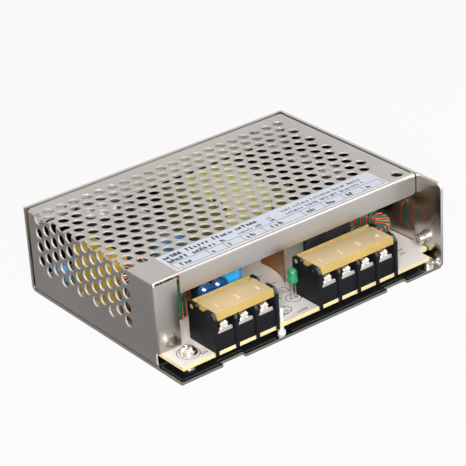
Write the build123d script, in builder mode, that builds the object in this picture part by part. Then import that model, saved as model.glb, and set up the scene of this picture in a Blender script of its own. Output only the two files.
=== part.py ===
"""Open-front switching power supply in a folded steel case, built as its separate pieces.

The origin is the centre of the case's footprint, on the underside of the base plate.
+X runs to the right along the terminal edge, +Y runs to the back and +Z is up.
All sizes are in millimetres.
"""
import os
from math import cos, pi, radians, sin, sqrt

from build123d import *

os.makedirs("parts", exist_ok=True)

# Case
case_length = 129.0
case_depth = 98.0
case_height = 36.5
chassis_sheet = 1.2
chassis_bend = 1.2
cover_sheet = 1.0
cover_bend = 1.5
seam_gap = 0.3
corner_relief = 3.0
wall_corner_radius = 3.0
notch_width = 10.5
notch_depth = 2.0
left_notch_at = 24.2
right_notch_inset = 24.4

# Cover
cover_setback = 13.9
lip_height = 8.7
lip_start = 12.0
lip_corner_radius = 1.5
front_flange_width = 10.7
front_flange_slit = 0.8
inner_flange_height = 8.0
inner_flange_inset = 18.0
foot_flange_width = 5.5
foot_screw_inset = 20.0

# Perforation
hole_pitch = 6.0
hole_size = 4.5
first_hole = 5.2
hole_end_margin = 8.0
hole_back_margin = 9.6
hole_label_margin = 2.5
side_first_hole = 1.9
side_hole_rows = 4
spare_hole_size = 4.8
spare_hole_inset = 6.9
spare_hole_y = 18.6

# Label
label_sheet = 0.12
label_start = 12.0
label_end_margin = 14.0
label_front = 15.5
label_width = 12.8

# Screws of the case and the board
case_screw_size = 3.0
case_screw_head = 5.2
case_screw_length = 3.6
case_screw_recess = 1.2
thread_clearance = 0.05
pan_head_size = 5.8
pan_head_height = 2.1
slot_width = 0.9
slot_depth = 0.9
washer_size = 7.0
washer_sheet = 0.5
board_screw_length = 4.8

# Inserts
insert_size = 4.6
insert_length = 4.0
insert_bore = 2.5
insert_height = 9.3
front_insert_y = 10.4
back_insert_inset = 10.4
base_insert_inset = 4.8
base_insert_y = 3.8
base_insert_height = 2.4

# Board
board_sheet = 1.6
first_standoff_x = 9.3
first_standoff_y = 7.9
middle_standoff_y = 55.8
board_screw_margin = 5.8
standoff_height = 3.7
standoff_size = 5.5
board_left_gap = 1.7
board_right_gap = 1.8
board_front_gap = 0.9
board_back_gap = 3.0
board_step_width = 4.6
board_step_depth = 6.6
board_hole_size = 3.4
film_sheet = 0.4
film_margin = 1.4
film_hole_gap = 1.2
post_size = 1.6
post_foot_size = 3.0
post_foot_height = 1.2
post_gap = 1.8
post_y = 2.6
post_height = 10.8

# Terminal blocks
pole_pitch = 9.5
partition_sheet = 1.4
input_poles = 3
output_poles = 4
input_start = 16.3
output_inset = 63.1
block_front_gap = 0.2
block_depth = 15.8
deck_height = 7.2
deck_depth = 7.3
rear_height = 11.9
partition_height = 13.5
partition_radius = 3.8
partition_foot = 1.3
ear_notch_start = 6.1
ear_notch_end = 10.8
ear_radius = 0.9
wall_slope = 2.0
contact_sheet = 0.8
contact_width = 6.8
contact_back_height = 4.0
contact_pin = 1.0
contact_pin_below = 1.2
slot_gap = 0.1
terminal_screw_size = 3.5
terminal_screw_length = 6.0
terminal_head_room = 3.0
terminal_head_size = 5.2
terminal_head_height = 2.0
terminal_flange_size = 5.8
terminal_flange_sheet = 0.5
screw_setback = 3.2
clamp_width = 6.4
clamp_depth = 4.8
clamp_sheet = 0.9
clamp_edge = 0.5
clamp_bore_gap = 0.15

# Lids of the terminal blocks
lid_sheet = 1.1
lid_gap = 0.3
lid_front_gap = 0.5
lid_skirt_height = 2.9
lid_skirt_lean = 0.6
lid_rear = 15.3
lid_channel_start = 12.3
lid_channel_depth = 1.2
lid_rib_width = 0.9
lid_tab_depth = 2.5
hinge_setback = 13.6
hinge_rise = 0.8
hinge_pin_size = 1.8
hinge_pin_gap = 0.05
latch_setback = 3.4
latch_hole_size = 1.6

# Indicator lamp
lamp_gap = 2.8
lamp_y = 12.7
lamp_size = 3.8
lamp_flange_size = 4.4
lamp_flange_sheet = 0.8
lamp_body_height = 3.6
lamp_lead_height = 7.4
lead_size = 0.5
lead_pitch = 2.54

# Input side parts
choke_x = 19.0
choke_y = 40.5
choke_outer = 25.0
choke_inner = 14.0
choke_height = 15.5
choke_wire = 1.1
choke_turns = 9
choke_winding_span = 150.0
winding_slack = 0.1
film_cap_x = 12.5
film_cap_y = 66.2
film_cap_width = 10.0
film_cap_length = 23.5
film_cap_height = 18.5
disc_size = 6.6
disc_sheet = 4.0
disc_edge = 1.0
disc_height = 15.6
disc_y = 22.0
first_disc_x = 29.3
second_disc_x = 35.6
side_disc_size = 9.6
side_disc_x = 5.0
side_disc_y = 81.6
side_disc_height = 11.2
inner_disc_x = 40.0
inner_disc_y = 58.0
inner_disc_size = 15.0
inner_disc_height = 18.6
aux_cap_x = 43.6
aux_cap_y = 26.6
aux_cap_size = 10.2
aux_cap_height = 20.0
fuse_x = 8.2
fuse_y = 20.6
fuse_size = 8.4
fuse_height = 8.0
bridge_x = 42.0
bridge_y = 40.5
bridge_width = 15.0
bridge_depth = 3.6
bridge_height = 11.0
bulk_cap_x = 24.6
bulk_cap_y = 84.0
bulk_cap_size = 18.0
bulk_cap_height = 26.0
can_groove_height = 2.4
can_groove_depth = 0.5
can_edge = 0.8
block_edge = 0.6

# Transformer
transformer_offset = 13.8
transformer_y = 72.5
core_width = 38.0
core_depth = 33.0
core_height = 17.0
core_leg = 5.5
core_centre = 10.0
core_lift = 4.5
winding_gap = 0.5
winding_height = 22.0
winding_radius = 3.0
tape_sheet = 0.4
tape_width = 16.2
bobbin_sheet = 1.5

# Heat sinks and what is on them
primary_sink_x = 39.0
primary_sink_y = 79.0
primary_sink_length = 26.0
sink_sheet = 2.0
sink_height = 24.0
sink_foot = 5.0
output_sink_inset = 31.0
output_sink_length = 22.5
output_sink_y = 21.0
output_sink_height = 22.5
transistor_width = 10.2
transistor_height = 15.6
transistor_sheet = 4.4
transistor_body = 9.4
tab_sheet = 1.3
transistor_lift = 5.0
sink_screw_size = 3.0
sink_screw_head = 5.4
sink_screw_height = 2.0

# Output side parts
output_choke_inset = 17.0
output_choke_y = 27.6
output_choke_outer = 19.6
output_choke_inner = 10.4
output_choke_height = 8.4
output_choke_wire = 1.0
output_choke_turns = 12
can_size = 12.5
can_height = 25.0
can_column_inset = 16.0
can_first_y = 47.0
can_pitch = 17.5
can_count = 3
chip_inset = 35.0
chip_y = 33.0
chip_width = 9.6
chip_depth = 6.4
chip_height = 3.6
barrier_front_inset = 60.4
barrier_front_y = 24.0
barrier_back_inset = 57.0
barrier_back_y = 42.8
barrier_bow = 1.6
barrier_sheet = 0.4
barrier_height = 21.0

# Planes of the case
left = -case_length / 2
right = case_length / 2
front = -case_depth / 2
back = case_depth / 2
inner_right = right - chassis_sheet
inner_back = back - chassis_sheet
base_top = chassis_sheet
board_bottom = base_top + standoff_height
board_top = board_bottom + board_sheet
cover_front = front + cover_setback
cover_back = inner_back - seam_gap
cover_right = inner_right - seam_gap
cover_foot = base_top
cover_inside = case_height - cover_sheet
output_start = case_length - output_inset
notch_xs = (left + left_notch_at, right - right_notch_inset)


def bent_strip(*points, sheet, bend):
    """Section of a folded sheet whose outer line passes through the points."""
    with BuildSketch(mode=Mode.PRIVATE) as section:
        with BuildLine():
            FilletPolyline(*points, radius=bend)
            offset(amount=sheet, side=Side.LEFT)
        make_face()
    return section.sketch


def finish(piece, name):
    """Label a finished piece and write it as its own file."""
    piece.label = name
    export_step(piece, f"parts/{name}.step")


# Places of the case screws, as (along the edge, up or across)
case_screw_level = case_height - inner_flange_height / 2 - cover_sheet / 2
right_screw_ys = [cover_front + inner_flange_inset, cover_back - inner_flange_inset]
back_screw_xs = [left + inner_flange_inset, cover_right - inner_flange_inset]
foot_screw_ys = [cover_front + foot_screw_inset, cover_back - foot_screw_inset]
foot_screw_x = left + (cover_sheet + foot_flange_width) / 2
right_screw_plane = Plane(origin=(right, 0, case_screw_level), x_dir=(0, 1, 0), z_dir=(1, 0, 0))
back_screw_plane = Plane(origin=(0, back, case_screw_level), x_dir=(1, 0, 0), z_dir=(0, 1, 0))
foot_screw_plane = Plane(origin=(foot_screw_x, 0, 0), x_dir=(0, 1, 0), z_dir=(0, 0, -1))
case_screw_places = (
    [right_screw_plane * Pos(y, 0, 0) for y in right_screw_ys]
    + [back_screw_plane * Pos(x, 0, 0) for x in back_screw_xs]
    + [foot_screw_plane * Pos(y, 0, 0) for y in foot_screw_ys]
)
insert_ys = [front + front_insert_y, back - back_insert_inset]

# Chassis: base plate, right wall and back wall folded from one sheet, with a corner relief
with BuildPart() as chassis:
    with BuildSketch(Plane.XZ.offset(corner_relief - back)):
        add(bent_strip((left, 0), (right, 0), (right, case_height),
                       sheet=chassis_sheet, bend=chassis_bend + chassis_sheet))
    extrude(amount=case_depth - corner_relief)
    with BuildSketch(Plane.YZ.offset(left)):
        add(bent_strip((back - corner_relief, 0), (back, 0), (back, case_height),
                       sheet=chassis_sheet, bend=chassis_bend + chassis_sheet))
    extrude(amount=case_length - corner_relief)
    with BuildSketch(Plane.YZ.offset(inner_right)):
        with Locations((back - corner_relief, corner_relief)):
            Rectangle(corner_relief, case_height - corner_relief, align=(Align.MIN, Align.MIN))
    extrude(amount=chassis_sheet)
    with BuildSketch(Plane.XZ.offset(-back)):
        with Locations((right - corner_relief, corner_relief)):
            Rectangle(corner_relief - chassis_sheet - seam_gap, case_height - corner_relief,
                      align=(Align.MIN, Align.MIN))
    extrude(amount=chassis_sheet)
    with BuildSketch():
        with Locations(*[(x, front) for x in notch_xs]):
            Rectangle(notch_width, 2 * notch_depth)
    extrude(amount=chassis_sheet, mode=Mode.SUBTRACT)
    fillet(chassis.edges().filter_by(Axis.X).filter_by_position(Axis.Y, front, front).sort_by(Axis.Z)[-1],
           wall_corner_radius)
    with Locations(*[Plane(origin=(right, y, insert_height), z_dir=(1, 0, 0)) for y in insert_ys]):
        Hole(insert_size / 2 + thread_clearance, depth=chassis_sheet)
    with Locations(Plane(origin=(right - base_insert_inset, front + base_insert_y, base_top))):
        Hole(insert_size / 2 + thread_clearance, depth=chassis_sheet)
    with Locations(*case_screw_places):
        CounterSinkHole(case_screw_size / 2 + thread_clearance, case_screw_head / 2 + thread_clearance,
                        depth=chassis_sheet, counter_sink_angle=90)
finish(chassis.part, "chassis")

# Cover: perforated top and left wall, front lip and flanges folded from one sheet
bend_start = cover_front + cover_bend
row_step = hole_pitch * sqrt(3) / 2
first_row = back - hole_back_margin
label_back = front + label_front + label_width
top_rows = int((first_row - label_back - hole_label_margin) // row_step) + 1
top_columns = int((cover_right - left - first_hole - hole_end_margin) // hole_pitch) + 1
even_rows = (top_rows + 1) // 2
odd_rows = top_rows // 2
even_row_centre = first_row - (even_rows - 1) * row_step
odd_row_centre = first_row - row_step - (odd_rows - 1) * row_step
even_column_centre = left + first_hole + (top_columns - 1) * hole_pitch / 2
odd_column_centre = even_column_centre - hole_pitch / 2
even_side_centre = case_height - side_first_hole - (side_hole_rows - 1) * hole_pitch / 2
odd_side_centre = even_side_centre - hole_pitch / 2
# A six-sided hole of the same area as the round one
hole_corner_radius = hole_size / 2 * sqrt(2 * pi / (3 * sqrt(3)))

with BuildPart() as top_cover:
    with BuildSketch(Plane.XZ.offset(cover_bend - cover_back)):
        add(bent_strip((cover_right, case_height - inner_flange_height), (cover_right, case_height),
                       (left, case_height), (left, cover_foot), (left + foot_flange_width, cover_foot),
                       sheet=cover_sheet, bend=cover_bend))
    extrude(amount=cover_back - cover_bend - bend_start)
    with BuildSketch(Plane.YZ.offset(left + lip_start)):
        add(bent_strip((cover_front + 2 * cover_bend, case_height), (cover_front, case_height),
                       (cover_front, case_height - lip_height), sheet=cover_sheet, bend=cover_bend))
    extrude(amount=cover_right - left - lip_start)
    lip_corner = top_cover.edges().filter_by(Axis.Y).filter_by_position(
        Axis.Z, case_height - lip_height, case_height - lip_height).sort_by(Axis.X)[-1]
    fillet(lip_corner, lip_corner_radius)
    with BuildSketch(Plane.YZ.offset(left + cover_bend)):
        add(bent_strip((cover_back, case_height - inner_flange_height), (cover_back, case_height),
                       (cover_back - 2 * cover_bend, case_height), sheet=cover_sheet, bend=cover_bend))
    extrude(amount=cover_right - left - 2 * cover_bend)
    with BuildSketch(Plane.XY.offset(cover_inside)):
        with Locations((left + cover_bend, cover_front)):
            Rectangle(lip_start - cover_bend, 2 * cover_bend, align=(Align.MIN, Align.MIN))
    extrude(amount=cover_sheet)
    with BuildSketch(Plane.XY.offset(board_top + seam_gap)):
        add(bent_strip((left, cover_front + 2 * cover_bend), (left, cover_front),
                       (left + front_flange_width, cover_front), sheet=cover_sheet, bend=cover_bend))
    extrude(amount=cover_inside - front_flange_slit - board_top - seam_gap)
    with BuildSketch(Plane.XY.offset(case_height)):
        with Locations((even_column_centre, even_row_centre)):
            with GridLocations(hole_pitch, 2 * row_step, top_columns, even_rows):
                RegularPolygon(hole_corner_radius, 6)
        with Locations((odd_column_centre, odd_row_centre)):
            with GridLocations(hole_pitch, 2 * row_step, top_columns, odd_rows):
                RegularPolygon(hole_corner_radius, 6)
        with Locations((right - spare_hole_inset, front + spare_hole_y)):
            Circle(spare_hole_size / 2)
    extrude(amount=-cover_sheet, mode=Mode.SUBTRACT)
    with BuildSketch(Plane.YZ.offset(left)):
        with Locations((even_row_centre, even_side_centre)):
            with GridLocations(2 * row_step, hole_pitch, even_rows, side_hole_rows):
                RegularPolygon(hole_corner_radius, 6)
        with Locations((odd_row_centre, odd_side_centre)):
            with GridLocations(2 * row_step, hole_pitch, odd_rows, side_hole_rows):
                RegularPolygon(hole_corner_radius, 6)
    extrude(amount=cover_bend, mode=Mode.SUBTRACT)
    with Locations(*case_screw_places):
        Hole(case_screw_size / 2 + thread_clearance, depth=case_screw_length)
finish(top_cover.part, "top_cover")


def cross_recess(width, reach, depth):
    """Cut a cross slot into the part being built, down from the local origin."""
    Box(2 * reach, width, depth, align=(Align.CENTER, Align.CENTER, Align.MAX), mode=Mode.SUBTRACT)
    Box(width, 2 * reach, depth, align=(Align.CENTER, Align.CENTER, Align.MAX), mode=Mode.SUBTRACT)


def countersunk_screw():
    """Flat-headed case screw, its head flush with the local XY plane."""
    head = case_screw_head / 2
    shank = case_screw_size / 2
    with BuildPart() as screw:
        with BuildSketch(Plane.XZ):
            with BuildLine():
                Polyline((0, 0), (head, 0), (shank, shank - head), (shank, -case_screw_length),
                         (0, -case_screw_length), close=True)
            make_face()
        revolve(axis=Axis.Z)
        cross_recess(slot_width, head / 2, case_screw_recess)
    return screw.part


def pan_head_screw(size, length, head_size, head_height):
    """Pan-headed screw that seats on the local XY plane, its head above it."""
    with BuildPart() as screw:
        with BuildSketch(Plane.XZ):
            with BuildLine():
                Line((0, -length), (size / 2, -length))
                Line((size / 2, -length), (size / 2, 0))
                Line((size / 2, 0), (head_size / 2, 0))
                Line((head_size / 2, 0), (head_size / 2, head_height / 2))
                Line((head_size / 2, head_height / 2), (head_size / 2 - head_height / 2, head_height))
                Line((head_size / 2 - head_height / 2, head_height), (0, head_height))
                Line((0, head_height), (0, -length))
            make_face()
        revolve(axis=Axis.Z)
        with Locations((0, 0, head_height)):
            cross_recess(slot_width, head_size / 3, slot_depth)
    return screw.part


with BuildPart() as cover_screws:
    with Locations(*case_screw_places):
        add(countersunk_screw())
finish(cover_screws.part, "cover_screws")

with BuildPart() as side_inserts:
    with Locations(*[Plane(origin=(right, y, insert_height), z_dir=(1, 0, 0)) for y in insert_ys]):
        Cylinder(insert_size / 2, insert_length, align=(Align.CENTER, Align.CENTER, Align.MAX))
        Hole(insert_bore / 2, depth=insert_length)
finish(side_inserts.part, "side_inserts")

with BuildPart() as base_insert:
    with Locations(Plane(origin=(right - base_insert_inset, front + base_insert_y, 0))):
        Cylinder(insert_size / 2, base_top + base_insert_height,
                 align=(Align.CENTER, Align.CENTER, Align.MIN))
        Hole(insert_bore / 2)
finish(base_insert.part, "base_insert")

# Board, with its corners of standoffs, washers and screws
board_left = left + board_left_gap
board_right = right - board_right_gap
board_front = front + board_front_gap
board_back = back - board_back_gap
standoff_places = [
    (left + first_standoff_x, front + first_standoff_y),
    (left + first_standoff_x, board_back - board_screw_margin),
    (board_right - board_screw_margin, board_back - board_screw_margin),
    (board_right - board_screw_margin, front + middle_standoff_y),
]
post_place = (left + input_start + input_poles * pole_pitch + partition_sheet + post_gap + post_size / 2,
              front + post_y)


def pole_places(start, poles):
    """Middles of a block's poles along X."""
    return [left + start + partition_sheet / 2 + pole_pitch * (pole + 0.5) for pole in range(poles)]


input_xs = pole_places(input_start, input_poles)
output_xs = pole_places(output_start, output_poles)
block_front = front + block_front_gap
block_back = block_front + block_depth
deck_top = board_top + deck_height
rear_front = block_front + deck_depth
rear_top = board_top + rear_height
partition_top = board_top + partition_height
foot_bottom = board_top - partition_foot
screw_y = block_front + screw_setback
pin_y = rear_front - contact_sheet / 2

with BuildPart() as insulation_sheet:
    with BuildSketch(Plane.XY.offset(base_top)):
        with BuildLine():
            Polyline((left + film_margin, front + film_margin),
                     (inner_right - chassis_bend - film_margin, front + film_margin),
                     (inner_right - chassis_bend - film_margin, inner_back - chassis_bend - film_margin),
                     (left + foot_flange_width + film_margin, inner_back - chassis_bend - film_margin),
                     (left + foot_flange_width + film_margin, cover_front),
                     (left + film_margin, cover_front), close=True)
        make_face()
        with Locations((right - base_insert_inset, front + base_insert_y)):
            Rectangle(2 * insert_size, 2 * insert_size, mode=Mode.SUBTRACT)
        with Locations(*standoff_places, post_place):
            Circle(standoff_size / 2 + film_hole_gap, mode=Mode.SUBTRACT)
        with Locations(*[(x, front) for x in notch_xs]):
            Rectangle(notch_width + film_margin, 2 * (notch_depth + film_margin), mode=Mode.SUBTRACT)
    extrude(amount=film_sheet)
finish(insulation_sheet.part, "insulation_sheet")

with BuildPart() as pcb:
    with BuildSketch(Plane.XY.offset(board_bottom)):
        with BuildLine():
            Polyline((board_left, board_front), (board_right - board_step_width, board_front),
                     (board_right - board_step_width, board_front + board_step_depth),
                     (board_right, board_front + board_step_depth), (board_right, board_back),
                     (board_left, board_back), close=True)
        make_face()
        with Locations(*standoff_places):
            Circle(board_hole_size / 2, mode=Mode.SUBTRACT)
        with Locations(post_place):
            Circle(post_size / 2 + thread_clearance, mode=Mode.SUBTRACT)
        with Locations(*[(x, pin_y) for x in input_xs + output_xs]):
            Rectangle(contact_pin + 2 * slot_gap, contact_pin + 2 * slot_gap, mode=Mode.SUBTRACT)
    extrude(amount=board_sheet)
finish(pcb.part, "pcb")

with BuildPart() as pcb_standoffs:
    with Locations(*[(x, y, base_top) for x, y in standoff_places]):
        Cylinder(standoff_size / 2, standoff_height, align=(Align.CENTER, Align.CENTER, Align.MIN))
        Hole(case_screw_size / 2 + thread_clearance, depth=standoff_height)
finish(pcb_standoffs.part, "pcb_standoffs")

with BuildPart() as pcb_washers:
    with BuildSketch(Plane.XY.offset(board_top)):
        with Locations(*standoff_places):
            Circle(washer_size / 2)
            Circle(board_hole_size / 2, mode=Mode.SUBTRACT)
    extrude(amount=washer_sheet)
finish(pcb_washers.part, "pcb_washers")

with BuildPart() as pcb_screws:
    with Locations(*[(x, y, board_top + washer_sheet) for x, y in standoff_places]):
        add(pan_head_screw(case_screw_size, board_screw_length, pan_head_size, pan_head_height))
finish(pcb_screws.part, "pcb_screws")

with BuildPart() as nylon_post:
    with Locations((*post_place, base_top)):
        Cylinder(post_foot_size / 2, post_foot_height, align=(Align.CENTER, Align.CENTER, Align.MIN))
        Cylinder(post_size / 2, post_height, align=(Align.CENTER, Align.CENTER, Align.MIN))
finish(nylon_post.part, "nylon_post")

with BuildPart() as rating_label:
    with BuildSketch(Plane.XY.offset(case_height)):
        with Locations((left + label_start, front + label_front)):
            Rectangle(case_length - label_start - label_end_margin, label_width, align=(Align.MIN, Align.MIN))
    extrude(amount=label_sheet)
finish(rating_label.part, "rating_label")

# Heights of the terminal parts
clamp_bottom = deck_top + contact_sheet
clamp_top = clamp_bottom + clamp_sheet
screw_seat = clamp_top + thread_clearance
head_top = screw_seat + terminal_flange_sheet + terminal_head_height
lid_top = head_top + terminal_head_room + lid_gap + lid_sheet
wall_top = lid_top
hinge_y = block_front + hinge_setback
hinge_z = lid_top - lid_sheet - lid_channel_depth + hinge_rise


def make_housing(start, poles):
    """Moulded barrier block: deck, rear bar, partitions and two eared end walls."""
    block_left = left + start
    length = poles * pole_pitch + partition_sheet
    wall_planes = [Plane.YZ.offset(block_left), Plane.YZ.offset(block_left + poles * pole_pitch)]
    partition_planes = [Plane.YZ.offset(block_left + number * pole_pitch) for number in range(1, poles)]
    with BuildPart() as housing:
        with BuildSketch(Plane.YZ.offset(block_left)):
            with BuildLine():
                Polyline((board_front, board_top), (block_back, board_top), (block_back, rear_top),
                         (rear_front, rear_top), (rear_front, deck_top), (board_front, deck_top),
                         close=True)
            make_face()
        extrude(amount=length)
        with BuildSketch(*partition_planes):
            with BuildLine():
                Polyline((block_front, foot_bottom), (board_front, foot_bottom), (board_front, board_top),
                         (block_back, board_top), (block_back, rear_top), (slope_end_y, rear_top),
                         (slope_start_y, partition_top), (block_front, partition_top), close=True)
            make_face()
            fillet(vertices().group_by(Axis.Y)[-1].sort_by(Axis.X)[0], partition_radius)
        extrude(amount=partition_sheet)
        with BuildSketch(*wall_planes):
            with BuildLine():
                Polyline((block_front, foot_bottom), (board_front, foot_bottom), (board_front, board_top),
                         (block_back, board_top), (block_back, wall_top), (notch_end_y, wall_top),
                         (notch_end_y, notch_floor), (notch_start_y, notch_floor),
                         (notch_start_y, wall_top), (block_front + wall_slope, wall_top),
                         (block_front, wall_top - wall_slope), close=True)
            make_face()
            fillet(vertices().group_by(Axis.Y)[-1], ear_radius)
            with Locations((hinge_y, hinge_z)):
                Circle(hinge_pin_size / 2 + hinge_pin_gap, mode=Mode.SUBTRACT)
            with Locations((block_front + latch_setback, hinge_z)):
                Circle(latch_hole_size / 2, mode=Mode.SUBTRACT)
        extrude(amount=partition_sheet)
        pole_xs = pole_places(start, poles)
        with Locations(*[(x, screw_y, deck_top) for x in pole_xs]):
            Hole(terminal_screw_size / 2 + lid_gap, depth=terminal_screw_length)
        with Locations(*[(x, pin_y, deck_top) for x in pole_xs]):
            Box(contact_pin + 2 * slot_gap, contact_pin + 2 * slot_gap, deck_height,
                align=(Align.CENTER, Align.CENTER, Align.MAX), mode=Mode.SUBTRACT)
    return housing.part


def make_contacts(start, poles):
    """Plated contact strips: a tongue on the deck, a back plate and a pin through the board."""
    pole_xs = pole_places(start, poles)
    with BuildPart() as contacts:
        with BuildSketch(*[Plane.YZ.offset(x - contact_width / 2) for x in pole_xs]):
            with BuildLine():
                Polyline((board_front + slot_gap, deck_top), (rear_front, deck_top),
                         (rear_front, deck_top + contact_back_height),
                         (rear_front - contact_sheet, deck_top + contact_back_height),
                         (rear_front - contact_sheet, clamp_bottom),
                         (board_front + slot_gap, clamp_bottom), close=True)
            make_face()
        extrude(amount=contact_width)
        with Locations(*[(x, screw_y, clamp_bottom) for x in pole_xs]):
            Hole(terminal_screw_size / 2 + thread_clearance, depth=contact_sheet)
        with Locations(*[(x, pin_y, deck_top) for x in pole_xs]):
            Box(contact_pin, contact_pin, deck_height + board_sheet + contact_pin_below,
                align=(Align.CENTER, Align.CENTER, Align.MAX))
    return contacts.part


def make_lid(start, poles):
    """Clear hinged lid: flat top, leaning front skirt, rear channel, end tabs and hinge pins."""
    lid_left = left + start + partition_sheet + lid_gap
    lid_width = poles * pole_pitch - partition_sheet - 2 * lid_gap
    skirt_y = front + lid_front_gap
    channel_y = block_front + lid_channel_start
    rear_y = block_front + lid_rear
    channel_top = lid_top - lid_channel_depth
    with BuildPart() as lid:
        with BuildSketch(Plane.YZ.offset(lid_left)):
            with BuildLine():
                Polyline((skirt_y, lid_top - lid_skirt_height), (skirt_y + lid_skirt_lean, lid_top),
                         (channel_y, lid_top), (channel_y, channel_top),
                         (rear_y - lid_rib_width, channel_top), (rear_y - lid_rib_width, lid_top),
                         (rear_y, lid_top), (rear_y, channel_top - lid_sheet),
                         (channel_y - lid_sheet, channel_top - lid_sheet),
                         (channel_y - lid_sheet, lid_top - lid_sheet),
                         (skirt_y + lid_skirt_lean + lid_sheet, lid_top - lid_sheet),
                         (skirt_y + lid_sheet, lid_top - lid_skirt_height), close=True)
            make_face()
        extrude(amount=lid_width)
        with BuildSketch(Plane.YZ.offset(lid_left), Plane.YZ.offset(lid_left + lid_width - lid_sheet)):
            with BuildLine():
                Polyline((notch_start_y + lid_gap, lid_top - lid_sheet),
                         (notch_start_y + lid_gap, lid_top - lid_tab_depth),
                         (rear_y - lid_rib_width, lid_top - lid_tab_depth),
                         (rear_y - lid_rib_width, lid_top - lid_channel_depth),
                         (channel_y, lid_top - lid_channel_depth), (channel_y, lid_top - lid_sheet),
                         close=True)
            make_face()
        extrude(amount=lid_sheet)
        for side, x in ((-1, lid_left + lid_sheet), (1, lid_left + lid_width - lid_sheet)):
            with BuildSketch(Plane(origin=(x, hinge_y, hinge_z), z_dir=(side, 0, 0))):
                Circle(hinge_pin_size / 2)
            extrude(amount=lid_sheet + lid_gap + partition_sheet - hinge_pin_gap)
    return lid.part


# Ear and notch places of the end walls
notch_start_y = block_front + ear_notch_start
notch_end_y = block_front + ear_notch_end
notch_floor = lid_top - lid_tab_depth - lid_gap
slope_start_y = block_front + lid_channel_start - lid_sheet - lid_gap
slope_end_y = slope_start_y + partition_top - rear_top

blocks = {"input": (input_start, input_poles), "output": (output_start, output_poles)}
for block_name, (block_start, block_poles) in blocks.items():
    finish(make_housing(block_start, block_poles), f"{block_name}_housing")
    finish(make_contacts(block_start, block_poles), f"{block_name}_contacts")
    finish(make_lid(block_start, block_poles), f"{block_name}_lid")
    for number, pole_x in enumerate(pole_places(block_start, block_poles), start=1):
        with BuildPart() as clamp:
            with Locations((pole_x, screw_y, clamp_bottom)):
                Box(clamp_width, clamp_depth, clamp_sheet, align=(Align.CENTER, Align.CENTER, Align.MIN))
            chamfer(clamp.edges().group_by(Axis.Z)[-1].filter_by(Axis.Y), clamp_edge)
            with Locations((pole_x, screw_y, clamp_top)):
                Hole(terminal_screw_size / 2 + clamp_bore_gap, depth=clamp_sheet)
        finish(clamp.part, f"{block_name}_clamp_{number}")
        with BuildPart() as terminal_screw:
            with Locations((pole_x, screw_y, screw_seat)):
                Cylinder(terminal_flange_size / 2, terminal_flange_sheet,
                         align=(Align.CENTER, Align.CENTER, Align.MIN))
            with Locations((pole_x, screw_y, screw_seat + terminal_flange_sheet)):
                add(pan_head_screw(terminal_screw_size, terminal_screw_length, terminal_head_size,
                                   terminal_head_height))
        finish(terminal_screw.part, f"{block_name}_screw_{number}")

# Indicator lamp on its two leads
lamp_place = (left + output_start - lamp_gap, front + lamp_y)
with BuildPart() as led_lens:
    with Locations((*lamp_place, board_top + lamp_lead_height)):
        Cylinder(lamp_flange_size / 2, lamp_flange_sheet, align=(Align.CENTER, Align.CENTER, Align.MIN))
        Cylinder(lamp_size / 2, lamp_body_height, align=(Align.CENTER, Align.CENTER, Align.MIN))
    with Locations((*lamp_place, board_top + lamp_lead_height + lamp_body_height)):
        Sphere(lamp_size / 2)
finish(led_lens.part, "led_lens")

with BuildPart() as led_leads:
    with Locations(*[(lamp_place[0] + side * lead_pitch / 2, lamp_place[1], board_top) for side in (-1, 1)]):
        Box(lead_size, lead_size, lamp_lead_height, align=(Align.CENTER, Align.CENTER, Align.MIN))
finish(led_leads.part, "led_leads")


def make_ring(place, outer, inner, bottom, height):
    """Ring core that stands on its flat side."""
    with BuildPart() as ring:
        with BuildSketch(Plane.XY.offset(bottom)):
            with Locations(place):
                Circle(outer / 2)
                Circle(inner / 2, mode=Mode.SUBTRACT)
        extrude(amount=height)
    return ring.part


def make_turns(place, outer, inner, bottom, height, wire, angles):
    """Turns of square wire round a ring core, one at each angle in degrees."""
    planes = [
        Plane(origin=(*place, bottom + height / 2), x_dir=(cos(radians(angle)), sin(radians(angle)), 0),
              z_dir=(sin(radians(angle)), -cos(radians(angle)), 0))
        for angle in angles
    ]
    with BuildPart() as turns:
        with BuildSketch(*planes):
            with Locations(((outer + inner) / 4, 0)):
                Rectangle((outer - inner) / 2 + 2 * wire, height + 2 * wire)
                Rectangle((outer - inner) / 2 + 2 * winding_slack, height + 2 * winding_slack,
                          mode=Mode.SUBTRACT)
        extrude(amount=wire / 2, both=True)
    return turns.part


# Input choke: ring core with two windings, one on each side
choke_place = (left + choke_x, front + choke_y)
choke_bottom = board_top + choke_wire
choke_step = choke_winding_span / (choke_turns - 1)
choke_angles = [side + choke_step * turn - choke_winding_span / 2
                for side in (0, 180) for turn in range(choke_turns)]
finish(make_ring(choke_place, choke_outer, choke_inner, choke_bottom, choke_height), "choke_core")
finish(make_turns(choke_place, choke_outer, choke_inner, choke_bottom, choke_height, choke_wire,
                  choke_angles), "choke_winding")

# Output choke: ring core with red and green turns by turns
ring_place = (right - output_choke_inset, front + output_choke_y)
ring_bottom = board_top + output_choke_wire
ring_step = 360 / (2 * output_choke_turns)
ring_size = (output_choke_outer, output_choke_inner, ring_bottom, output_choke_height)
finish(make_ring(ring_place, *ring_size), "output_choke_core")
for first, colour in enumerate(("red", "green")):
    ring_angles = [ring_step * (first + 2 * turn) for turn in range(output_choke_turns)]
    finish(make_turns(ring_place, *ring_size, output_choke_wire, ring_angles), f"output_choke_{colour}")

with BuildPart() as x_capacitor:
    with Locations((left + film_cap_x, front + film_cap_y, board_top)):
        Box(film_cap_width, film_cap_length, film_cap_height, align=(Align.CENTER, Align.CENTER, Align.MIN))
    chamfer(x_capacitor.edges().filter_by(Axis.Z), block_edge)
finish(x_capacitor.part, "x_capacitor")


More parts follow.
